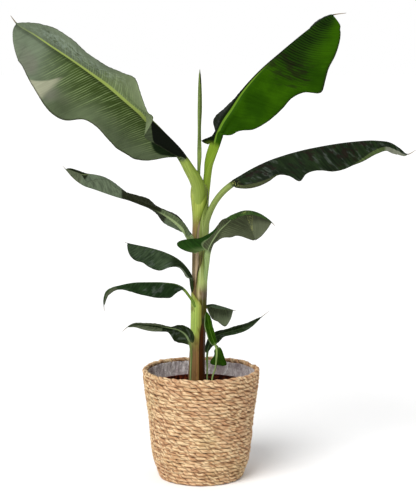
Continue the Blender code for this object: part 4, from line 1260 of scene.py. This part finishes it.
def upper_face(paint, look, ground):
    grain = ground.broad if look.smooth else ground.streak
    light = paint.step(ground.cloud * 0.5 + grain * 0.5, 0.38, 0.64)
    face = paint.mix(light, linear(*look.upper), linear(*look.upper_light))
    # Painted shade: the half that turns away takes its own darker colour
    if look.far_half_shade:
        face = paint.mix(ground.half, face, linear(*look.far_half_shade))
    # Painted shade: the upper face is painted nearly black up to a share from the base
    if look.shaded_base:
        near = paint.step(ground.share, look.shaded_base + 0.06, look.shaded_base - 0.04)
        face = paint.mix(near, face, SHADED_BASE)
    if look.sheen:
        sheet = paint.grain(ground.way * 60, ground.reach * 1.1, look.seed + 2, 3.0, 0.65)
        face = paint.mix(paint.step(sheet, 0.52, 0.68) * look.sheen, face, SHEEN)
    strength, first, last = look.stripe
    if strength:
        dark = 0.5 + (ground.way * 165 + ground.streak * 1.2).wave() * 0.5
        inner = paint.step(ground.reach + ground.broad * 0.4, 1.1, 0.45)
        where = ground.between(paint, first, last, 0.1) * inner * strength
        face = paint.mix(where * 0.7, face, STRIPED_GROUND)
        face = paint.mix(paint.step(dark, 0.45, 0.9) * where * 0.85, face, STRIPE)
    strength, first, last = look.blotch
    if strength:
        marks = paint.grain(ground.way * 85, ground.reach * 3.2, look.seed * 3, 3.0, 0.6)
        spread = marks * 0.6 + ground.broad * 0.4
        where = ground.between(paint, first, last) * paint.step(ground.reach, 0.98, 0.7)
        face = paint.mix(paint.step(spread, 0.49, 0.56) * where * strength, face, BLOTCH)
    return face


def lower_face(paint, look, ground):
    out = paint.step(ground.reach + ground.cloud * 0.3, 0.2, 1.0)
    face = paint.mix(out, linear(*look.near_rib), linear(*look.under))
    # Towards the tip the lower face pales to its last colour: a waxy coat, and on the large leaf
    # partly a painted sheen
    start = look.bloom_from
    bloom_and_sheen_mix = paint.step(ground.share + ground.broad * 0.3 + ground.half * 0.15,
                         start + 0.02, start + 0.3)
    face = paint.mix(bloom_and_sheen_mix, face, linear(*look.bloom_and_sheen))
    vein = 0.5 + (ground.way * 185 + ground.streak * 0.8).wave() * 0.5
    inner = paint.step(ground.reach, 0.85, 0.25)
    strength = paint.step(ground.streak, 0.35, 0.6) * inner * look.pale_veins
    face = paint.mix(paint.step(vein, 0.62, 0.95) * strength * paint.step(ground.share, 0.9, 0.7),
                     face, PALE_VEIN)
    return paint.shaded(face, paint.step(ground.cloud, 0.3, 0.7, 0.84, 1.13))


def banded(paint, look, ground, face):
    """Paints where folds show another face or lie in painted shade, each with a line along a border
    that shows, and the tears.
    """
    place = ground.share + ground.reach * (ground.half * 2 - 1) * look.band_slant
    for half, first, last, reach_first, reach_last, side, tone in look.fold_and_shade_bands:
        slope = (reach_last - reach_first) / (last - first)
        border = (ground.share - first) * slope + reach_first
        beyond = (ground.reach + ground.streak * 0.08 - 0.04 - border) * side
        where = paint.step(place, first - look.band_end, first + look.band_end)
        where = where * paint.step(place, last + look.band_end, last - look.band_end)
        where = where * (ground.half if half > 0 else 1 - ground.half)
        # Each colour here is another face's colour or painted shade of the fold
        shade = paint.shaded(linear(*tone), paint.step(ground.streak, 0.3, 0.7, 0.8, 1.2))
        face = paint.mix(paint.step(beyond, -0.02, 0.02) * where, face, shade)
        if max(reach_first, reach_last) > 0:
            rim = paint.step(abs(beyond), 0.05, 0.015) * where * 0.45
            face = paint.mix(rim, face, linear(*(look.fold_rim or look.rib)))
    strength, first, last = look.cracks
    if strength:
        web = paint.grain(ground.along * 150, ground.across * 90, look.seed)
        where = ground.between(paint, first, last, 0.02) * paint.step(ground.reach, 0.85, 0.7)
        face = paint.mix(paint.threads(web, 0.018, 0.008) * where * strength, face, CRACK)
    return face


def light_patches(paint, ground, face):
    """Painted light of the lit facet and of the lit upper half, the lilac tint, and the blue-grey
    specks, partly a painted sheen, of the large leaf's lower face.
    """
    out = ground.reach - 0.3
    facet = (paint.step(ground.share - out * 0.063, 0.683, 0.715)
             * paint.step(ground.share - out * 0.19, 0.701, 0.691)
             * paint.step(ground.reach, 0.28, 0.5) * (1 - ground.half))
    lilac = (ground.between(paint, 0.42, 0.9, 0.1) * paint.step(ground.reach, 0.35, 0.6)
             * paint.step(ground.broad, 0.46, 0.6) * (1 - ground.half))
    lit_half = ground.half * ground.between(paint, 0.2, 0.56, 0.08) * 0.38
    specks = paint.grain(ground.along * 120, ground.across * 120, 4.0, 3.0, 0.65)
    frost_and_sheen = (ground.half * ground.between(paint, 0.5, 0.92, 0.08)
             * paint.step(abs(ground.reach - 0.45), 0.4, 0.15))
    # Blue-grey frosted specks, partly a painted sheen, with darker gaps between them; then the
    # painted light of the lit upper half and of the lit facet
    face = paint.mix(frost_and_sheen * paint.step(specks, 0.42, 0.6) * 0.6, face, FROST_AND_SHEEN)
    face = paint.mix(frost_and_sheen * paint.step(specks, 0.42, 0.34) * 0.6, face, FROST_GAP)
    face = paint.mix(lit_half, face, LIT)
    face = paint.mix(lilac * 0.55, face, LILAC)
    return paint.mix(facet * 0.75, face, LIT_FACET)


def with_rib(paint, leaf, look, ground, face):
    """Adds the midrib with the shade line below it, and the dull margin."""
    base, tip = leaf.radii[1] * MM, leaf.radii[2] * MM
    wide = ((1 - ground.share) ** 1.6 * (base - tip) + tip) * look.rib_wide
    beside = ground.across - look.rib_shift
    beneath = (paint.step(beside + wide, 0.0, -0.001)
               * paint.step(beside + wide, -0.010, -0.004))
    shaded = paint.mix(beneath * look.rib_shade, face, RIB_SHADE)
    on_rib = (paint.step(abs(beside) - wide, 0.0006, -0.0006)
              * paint.step(ground.share, look.rib_to + 0.08, look.rib_to - 0.12)
              * paint.step(ground.share, look.rib_from - 0.05, look.rib_from + 0.05))
    if leaf.underside_shows:
        on_rib = on_rib * (ground.under * 0.45 + 0.55)
    ribbed = paint.mix(on_rib * 0.92, shaded, linear(*look.rib))
    margin = paint.step(ground.reach, 0.955, 0.985) * paint.step(ground.along, 0.0, 0.02)
    return paint.mix(margin * 0.65, ribbed, MARGIN)


def stalk_colour(paint, leaf, look, ground, stalk_length, grain):
    """The stalk's two sides, the dark line between them and its foot."""
    around = (ground.under - 0.5) * (1 - ground.reach ** 1.5) + 0.5
    front, back = linear(*look.stalk), linear(*look.stalk_back)
    sides = paint.mix(around, *((back, front) if leaf.underside_shows else (front, back)))
    untwisted = paint.step(ground.along, -0.38 * stalk_length, -0.5 * stalk_length)
    low = paint.step(ground.along, -0.45 * stalk_length, -0.85 * stalk_length)
    outline = paint.step(ground.reach, 0.3, 0.06) * untwisted * (1 - low)
    outlined = paint.mix(outline * 0.5, sides, STALK_EDGE)
    footed = paint.mix(low * 0.65, outlined, linear(*look.foot))
    return paint.shaded(footed, paint.step(grain, 0.25, 0.75, 0.78, 1.2))


def leaf_paint(leaf, look):
    paint = Paint(leaf.name)
    lengths = along_route(leaf)
    stalk_length = lengths[leaf.blade[0]] * MM
    length = (lengths[leaf.blade[1]] - lengths[leaf.blade[0]]) * MM
    ground = LeafGround(paint, look, length)
    bottom = lower_face(paint, look, ground)
    if leaf.name == "leaf_upper_left":
        bottom = light_patches(paint, ground, bottom)
    face = paint.mix(ground.under, upper_face(paint, look, ground), bottom)
    face = banded(paint, look, ground, face)
    grained = paint.shaded(face, paint.step(ground.streak * 0.6 + ground.fine * 0.4, 0.3, 0.7,
                                            0.85, 1.13))
    blade = with_rib(paint, leaf, look, ground, grained)
    grain = paint.grain(ground.along * 16, ground.reach * 5 + ground.under * 7, look.seed, 3.0,
                        0.6)
    stalk = stalk_colour(paint, leaf, look, ground, stalk_length, grain)
    whole = paint.mix(paint.step(ground.along, -0.008, 0.006), stalk, blade)
    dry = paint.step(ground.along, length + 0.001, length + 0.006)
    colour = paint.mix(dry, whole, DRY)
    rough = paint.mix_number(ground.under, paint.step(ground.streak, 0.3, 0.7, 0.4, 0.52), 0.62)
    height = paint.mix_number(paint.step(ground.along, -0.006, 0.004), grain,
                              ground.streak * 0.7 + ground.fine * 0.3)
    return paint.finish(colour, rough, paint.bump(height, 0.0007), Specular_IOR_Level=look.gloss)


# How the fine stalks run on into the pseudostem: how many points of the leaf's route give way,
# the points in their place, and how much wider the stalk's inner side is from there on
ROOTS = {
    "leaf_upper_left": (4, [(-3, 10, 490), (-3, 4, 522), (-3, -3, 552), (-4, -8, 575),
                            (-7.5, -12, 592), (-13, -17, 607)],
                        [1.0, 1.0, 1.5, 2.6, 2.7, 2.3, 1.8, 1.1]),
    "leaf_upper_right": (1, [(2, 4, 505), (4, 8, 532)], [1, 1]),
    "leaf_right_long": (1, [(2, 6, 440), (3, 0, 468), (5, -7, 495)], [1, 1, 1]),
    "leaf_left_long": (1, [(-2, 6, 425), (-5, -3, 448), (-8, -8, 462)], [1, 1, 1]),
    "leaf_right_folded": (1, [(4, 7, 360), (5, -1, 388), (7.5, -8, 412)], [1, 1, 1]),
    "leaf_left_short": (2, [(-8, 8, 345), (-13, 0, 368), (-17, -9, 390)], [1, 1, 1]),
    "leaf_left_drooping": (1, [(-2, 6, 300), (-5, -4, 326)], [1, 1]),
}
# Radii, in millimetres, of the stalks that are slimmer than in the CAD part
SLIM_STALKS = {"leaf_left_drooping": (3.2, 3.6), "leaf_left_short": (4.2, 5.2)}
# Depth of a blade's pleats and of its soft dents, and the lengths of its two sets of pleats
PLEAT_DEPTH = 0.45
DENT_DEPTH = 1.6
PLEATS = (8.7, 13.3)


def rooted(leaf):
    """The leaf with its stalk drawn on into the pseudostem, and the stalk's widths."""
    if leaf.name not in ROOTS:
        return leaf, [1.0]
    dropped, points, widths = ROOTS[leaf.name]
    added = len(points) - dropped
    radii = (*SLIM_STALKS.get(leaf.name, leaf.radii[:2]), leaf.radii[2])
    return replace(leaf, route=points + leaf.route[dropped:], radii=radii,
                   blade=(leaf.blade[0] + added, leaf.blade[1] + added)), widths + [1.0]


def along_route(leaf):
    points = np.array(leaf.route, float)
    return np.concatenate([[0.0], np.cumsum(np.linalg.norm(np.diff(points, axis=0), axis=1))])


def blade_outline(share, blunt):
    """The blade's width as a share of its full width, rounded off at the base and the tip."""
    base = 1 - np.clip(share / 0.5, 0, 1)
    tip = np.clip((share - 0.5) / 0.5, 0, 1)
    return np.sqrt(np.clip((1 - base ** blunt[0]) * (1 - tip ** blunt[1]), 0, 1))


def stations(leaf, spacing):
    """Distances from the root at which the leaf has a section."""
    lengths = along_route(leaf)
    start, end = lengths[leaf.blade[0]], lengths[leaf.blade[1]]
    even = np.linspace(0, 1, int((end - start) / spacing) + 1)
    closer_at_ends = 0.5 - 0.5 * np.cos(np.pi * even)
    blade = start + (end - start) * (0.5 * even + 0.5 * closer_at_ends)
    stalk = np.linspace(0, start, max(8, int(start / 3)))[:-1]
    thread = np.linspace(end, lengths[-1], 8)[1:]
    return np.concatenate([stalk, blade, thread])


def relief(leaf, along, t, sign):
    """How far the sheet lies off its smooth middle: pleats beside the veins and soft dents."""
    seed = LOOKS[leaf.name].seed + 0.5 * sign
    way = along - LOOKS[leaf.name].slant * 80 * t
    pleat = (0.5 * np.sin(FULL_TURN * way / PLEATS[0] + seed)
             + 0.35 * np.sin(FULL_TURN * way / PLEATS[1]))
    dents = np.array([wobble(a / 34, 2.2 * t, seed, 9) for a in along])
    return PLEAT_DEPTH * pleat * ease(t / 0.2) + DENT_DEPTH * dents * ease(t / 0.35)


class Course:
    """A leaf's sections: where they lie, which way they face, and how wide rib and blade are."""

    def __init__(self, leaf, spacing):
        self.leaf = leaf
        self.lengths = lengths = along_route(leaf)
        self.at = at = stations(leaf, spacing)
        start, end = lengths[leaf.blade[0]], lengths[leaf.blade[1]]
        self.past_stalk = at - start
        self.share = np.clip((at - start) / (end - start), 0, 1)
        self.stalk_share = np.clip(at / start, 0, 1)
        self.outline = np.where(at < start, 0.0, blade_outline(self.share, leaf.blunt))

        self.middle = smooth(lengths, leaf.route, at)
        self.way = unit(smooth(lengths, leaf.route, at + 0.5)
                        - smooth(lengths, leaf.route, at - 0.5))
        self.viewer = unit(TOWARDS_VIEWER - (self.way @ TOWARDS_VIEWER)[:, None] * self.way)
        hand = 1 if leaf.goes_left else -1
        self.upward = hand * np.cross(self.way, self.viewer)

        root, base, tip = leaf.radii
        rib = np.where(at < start, root + (base - root) * self.stalk_share,
                       tip + (base - tip) * (1 - self.share) ** 1.6)
        self.rib = rib * (1 - 0.75 * np.clip((at - end) / (lengths[-1] - end), 0, 1))


def half_angles(course, values, column, sign):
    """Width of one half, and its leans at the rib and at the edge. They turn along the stalk."""
    stalk_turn = 90.0 if course.leaf.underside_shows else -90.0
    turned = ease((course.stalk_share - 0.55) / 0.45)
    width = values[:, column] * course.outline
    lean = sign * stalk_turn * (1 - turned) + values[:, column + 1] * turned
    edge_lean = sign * stalk_turn * (1 - turned) + values[:, column + 2] * turned
    return width, lean, edge_lean


def half_points(course, width, lean, edge_lean, sign, side_way, across):
    """The middle of the sheet and its normal, from the rib outwards, for one half."""
    rib, viewer, upward = course.rib, course.viewer, course.upward
    ripple = course.leaf.ripple
    wave = sign * (ripple[0] * np.sin(FULL_TURN * ripple[1] * course.share) * course.outline)
    wing = np.sqrt(rib**2 + width**2) - rib
    full = ease(wing / 14)
    turn = np.radians(edge_lean - lean)
    for t in np.arange(across) / (across - 1):
        chord = np.radians(lean) + turn * t / 2
        reach = (wing * t * np.sinc(turn * t / FULL_TURN))[:, None]
        way = sign * np.cos(chord)[:, None] * upward + np.sin(chord)[:, None] * viewer
        here = np.radians(lean) + turn * t
        normal = -sign * np.sin(here)[:, None] * upward + np.cos(here)[:, None] * viewer
        off = wave * t * t + full * relief(course.leaf, course.past_stalk, t, sign)
        yield t, side_way * rib[:, None] + way * reach + normal * off[:, None], normal


def half_sheet(course, spread, sign, side_way, face_way, lobe, swept, across, thickness):
    """One half from the rib outwards: place, normal, thickness, distance across and reach."""
    rib, share, outline = course.rib, course.share, course.outline
    full = np.sqrt(rib**2 + spread[0]**2)
    bladed = ease((full / rib - 1) / 1.2)[:, None]
    back = (lobe * np.clip(1 - share / 0.25, 0, 1) ** 2 * outline ** 0.5
            - swept * ease((share - 0.3) / 0.5) * outline)
    sheet = []
    found = half_points(course, *spread, sign, sign * side_way, across)
    for step, (t, point, normal) in enumerate(found, 1):
        round_off = math.pi / 2 * step / across
        round_point = sign * side_way * (rib * math.sin(round_off))[:, None]
        place = round_point * (1 - bladed) + point * bladed
        place = place - course.way * (back * t * t)[:, None]
        facing = unit(face_way * (1 - bladed) + normal * bladed)
        thick = (rib * math.cos(round_off))[:, None] * (1 - bladed)
        ridge = rib[:, None] * 0.7 * (1 - ease(t / 0.12)) * bladed
        sheet.append((place, facing, np.maximum(thick + ridge, thickness / 2),
                      sign * (rib + (full - rib) * t), t))
    return sheet


def leaf_maps(course, row):
    """The leaf's UVs: across and along it in metres, and its reach and face."""
    one_way = [(across * MM, t) for _, _, _, across, t in row]
    round_trip = one_way + one_way[::-1] + one_way[:1]
    far = [0.0] * len(row) + [1.0] * (len(row) + 1)
    blade_map = np.zeros((len(course.at), len(round_trip), 2))
    face_map = np.zeros_like(blade_map)
    for i, (across, t) in enumerate(round_trip):
        blade_map[:, i, 0] = across
        blade_map[:, i, 1] = course.past_stalk * MM
        face_map[:, i, 0] = t
        face_map[:, i, 1] = 1 - far[i] if course.leaf.underside_shows else far[i]
    return {"blade": blade_map, "face": face_map}


def leaf_rings(leaf, widths, spacing, across, thickness):
    """Closed sections of a leaf in millimetres, with their two UV maps."""
    course = Course(leaf, spacing)
    rows = np.array(leaf.rows, float)
    values = smooth(rows[:, 0], rows[:, 1:], course.share)
    first, second = half_angles(course, values, 0, 1), half_angles(course, values, 3, -1)
    turn = np.radians(first[1] - second[1])[:, None] / 2
    side_way = np.cos(turn) * course.upward + np.sin(turn) * course.viewer
    face_way = -np.sin(turn) * course.upward + np.cos(turn) * course.viewer
    sheets = [half_sheet(course, spread, sign, side_way, face_way, lobe, swept, across, thickness)
              for spread, sign, lobe, swept in zip((first, second), (1, -1), leaf.lobes,
                                                   leaf.swept)]
    middle, rib = course.middle, course.rib
    centre = (0 * middle, face_way, rib[:, None], 0 * rib, 0.0)
    row = sheets[1][::-1] + [centre] + sheets[0]

    under, over = (1.0, 0.45) if leaf.underside_shows else (0.45, 1.0)
    flat = thickness / 2
    viewer_side, far_side = [], []
    for place, facing, thick, _, _ in row:
        viewer_side.append(middle + place + facing * np.maximum(thick * under, flat))
        far_side.append(middle + place - facing * np.maximum(thick * over, flat))
    rings = np.stack(viewer_side + far_side[::-1], axis=1)
    wider = np.interp(course.at, course.lengths[:len(widths)], widths, right=1.0) - 1
    rise = np.maximum(np.einsum("ijk,ik->ij", rings - middle[:, None], course.upward), 0)
    rings = rings + (wider[:, None] * rise)[:, :, None] * course.upward[:, None]
    return rings, leaf_maps(course, row)


class LeafSettings(bpy.types.PropertyGroup):
    thickness: FloatProperty(name="Thickness", description="Of the blade, in millimetres",
                             default=0.55, min=0.2)
    spacing: FloatProperty(name="Spacing", description="Between sections, in millimetres",
                           default=2.0, min=0.8)
    across: IntProperty(name="Across", description="Points across half a blade", default=14,
                        min=5)


class PLANT_OT_leaves(bpy.types.Operator):
    """Grows every leaf from the part's own route and widths, with veins and pleats"""

    bl_idname = "plant.leaves"
    bl_label = "Leaves"

    def execute(self, context):
        settings = context.scene.plant_leaves
        for leaf in LEAVES:
            small = "sucker" in leaf.name or leaf.name == "spear_leaf"
            spacing = settings.spacing * (0.75 if small else 1.0)
            across = settings.across - (5 if small else 0)
            fine, widths = rooted(leaf)
            rings, maps = leaf_rings(fine, widths, spacing, across, settings.thickness)
            piece = rolled("fine_" + leaf.name, rings, maps)
            named(piece, "fine_" + leaf.name, leaf_paint(fine, LOOKS[leaf.name]))
            own = [] if leaf.name == "sucker_front_lower_leaf" else [leaf.name]
            finished(piece, SLOTS.get(leaf.name, "leaf_dark"), *own)
        return {"FINISHED"}


# Stage

# The camera's place in metres, its tilt down in degrees and its focal length in picture heights
CAMERA_PLACE = (0.014, -2.98, 0.865)
CAMERA_TILT = 7.677
FOCAL_LENGTH = 1510 / 497
SENSOR = 36.0
# Where the key light shines from and to, and how wide it is, in degrees
KEY_FROM = (-1.8, -3.1, 3.8)
KEY_TO = (0.0, 0.0, 0.4)
KEY_WIDTH = 38
WHITE = (1.0, 1.0, 1.0, 1.0)


class StageSettings(bpy.types.PropertyGroup):
    sun: FloatProperty(name="Key light", description="Strength of the soft key light",
                       default=2.75, min=0.0)
    sky: FloatProperty(name="Fill light", description="Strength of the light all round",
                       default=0.55, min=0.0)
    floor: FloatVectorProperty(name="Floor", description="Colour of the floor",
                               subtype="COLOR", default=(1.0, 1.0, 1.0), min=0, max=1)


class PLANT_OT_stage(bpy.types.Operator):
    """Sets up the pale floor, the soft light and the camera at the photograph's angle"""

    bl_idname = "plant.stage"
    bl_label = "Stage"

    def execute(self, context):
        settings = context.scene.plant_stage
        deselect()
        bpy.ops.mesh.primitive_plane_add(size=80.0, location=(0.0, 0.0, -0.0005))
        floor = named(bpy.context.object, "floor")
        paint = Paint("floor")
        floor.data.materials.append(paint.finish(tuple(settings.floor), 0.9))

        world = bpy.data.worlds.new("studio")
        context.scene.world = world
        world.use_nodes = True
        tree = world.node_tree
        light = tree.nodes["Background"]
        light.inputs["Color"].default_value = WHITE
        light.inputs["Strength"].default_value = settings.sky
        seen = tree.nodes.new("ShaderNodeBackground")
        seen.inputs["Color"].default_value = WHITE
        path = tree.nodes.new("ShaderNodeLightPath")
        chosen = tree.nodes.new("ShaderNodeMixShader")
        tree.links.new(path.outputs["Is Camera Ray"], chosen.inputs[0])
        tree.links.new(light.outputs[0], chosen.inputs[1])
        tree.links.new(seen.outputs[0], chosen.inputs[2])
        tree.links.new(chosen.outputs[0], tree.nodes["World Output"].inputs[0])

        deselect()
        bpy.ops.object.light_add(type="SUN", location=KEY_FROM)
        key = bpy.context.object
        key.name = "key_light"
        key.data.energy = settings.sun
        key.data.angle = math.radians(KEY_WIDTH)
        aim = Vector(KEY_TO) - Vector(KEY_FROM)
        key.rotation_euler = aim.to_track_quat("-Z", "Y").to_euler()

        bpy.ops.object.camera_add(location=CAMERA_PLACE,
                                  rotation=(math.radians(90 - CAMERA_TILT), 0.0, 0.0))
        camera = bpy.context.object
        camera.name = "camera"
        camera.data.sensor_width = SENSOR
        camera.data.lens = FOCAL_LENGTH * SENSOR
        context.scene.camera = camera
        context.scene.view_settings.view_transform = "Standard"
        return {"FINISHED"}


class PLANT_PT_panel(bpy.types.Panel):
    bl_label = "Banana plant"
    bl_idname = "PLANT_PT_panel"
    bl_space_type = "VIEW_3D"
    bl_region_type = "UI"
    bl_category = "Banana plant"

    def draw(self, context):
        for operator, group in STEPS:
            box = self.layout.box()
            box.operator(operator.bl_idname)
            settings = getattr(context.scene, group, None) if group else None
            for key in getattr(settings, "__annotations__", {}):
                box.prop(settings, key)


GROUPS = {"plant_basket": BasketSettings, "plant_liner": LinerSettings,
          "plant_soil": SoilSettings, "plant_stem": StemSettings,
          "plant_leaves": LeafSettings, "plant_stage": StageSettings}
STEPS = [(PLANT_OT_basket, "plant_basket"), (PLANT_OT_liner, "plant_liner"),
         (PLANT_OT_pot, None), (PLANT_OT_soil, "plant_soil"), (PLANT_OT_stem, "plant_stem"),
         (PLANT_OT_leaves, "plant_leaves"), (PLANT_OT_stage, "plant_stage")]


def register():
    for name, group in GROUPS.items():
        bpy.utils.register_class(group)
        setattr(bpy.types.Scene, name, PointerProperty(type=group))
    for operator, _ in STEPS:
        bpy.utils.register_class(operator)
    bpy.utils.register_class(PLANT_PT_panel)


def unregister():
    bpy.utils.unregister_class(PLANT_PT_panel)
    for operator, _ in reversed(STEPS):
        bpy.utils.unregister_class(operator)
    for name, group in reversed(list(GROUPS.items())):
        delattr(bpy.types.Scene, name)
        bpy.utils.unregister_class(group)


def main():
    register()
    bpy.ops.plant.basket()
    bpy.ops.plant.liner()
    bpy.ops.plant.pot()
    bpy.ops.plant.soil()
    bpy.ops.plant.stem()
    bpy.ops.plant.leaves()
    bpy.ops.plant.stage()


if __name__ == "__main__":
    main()
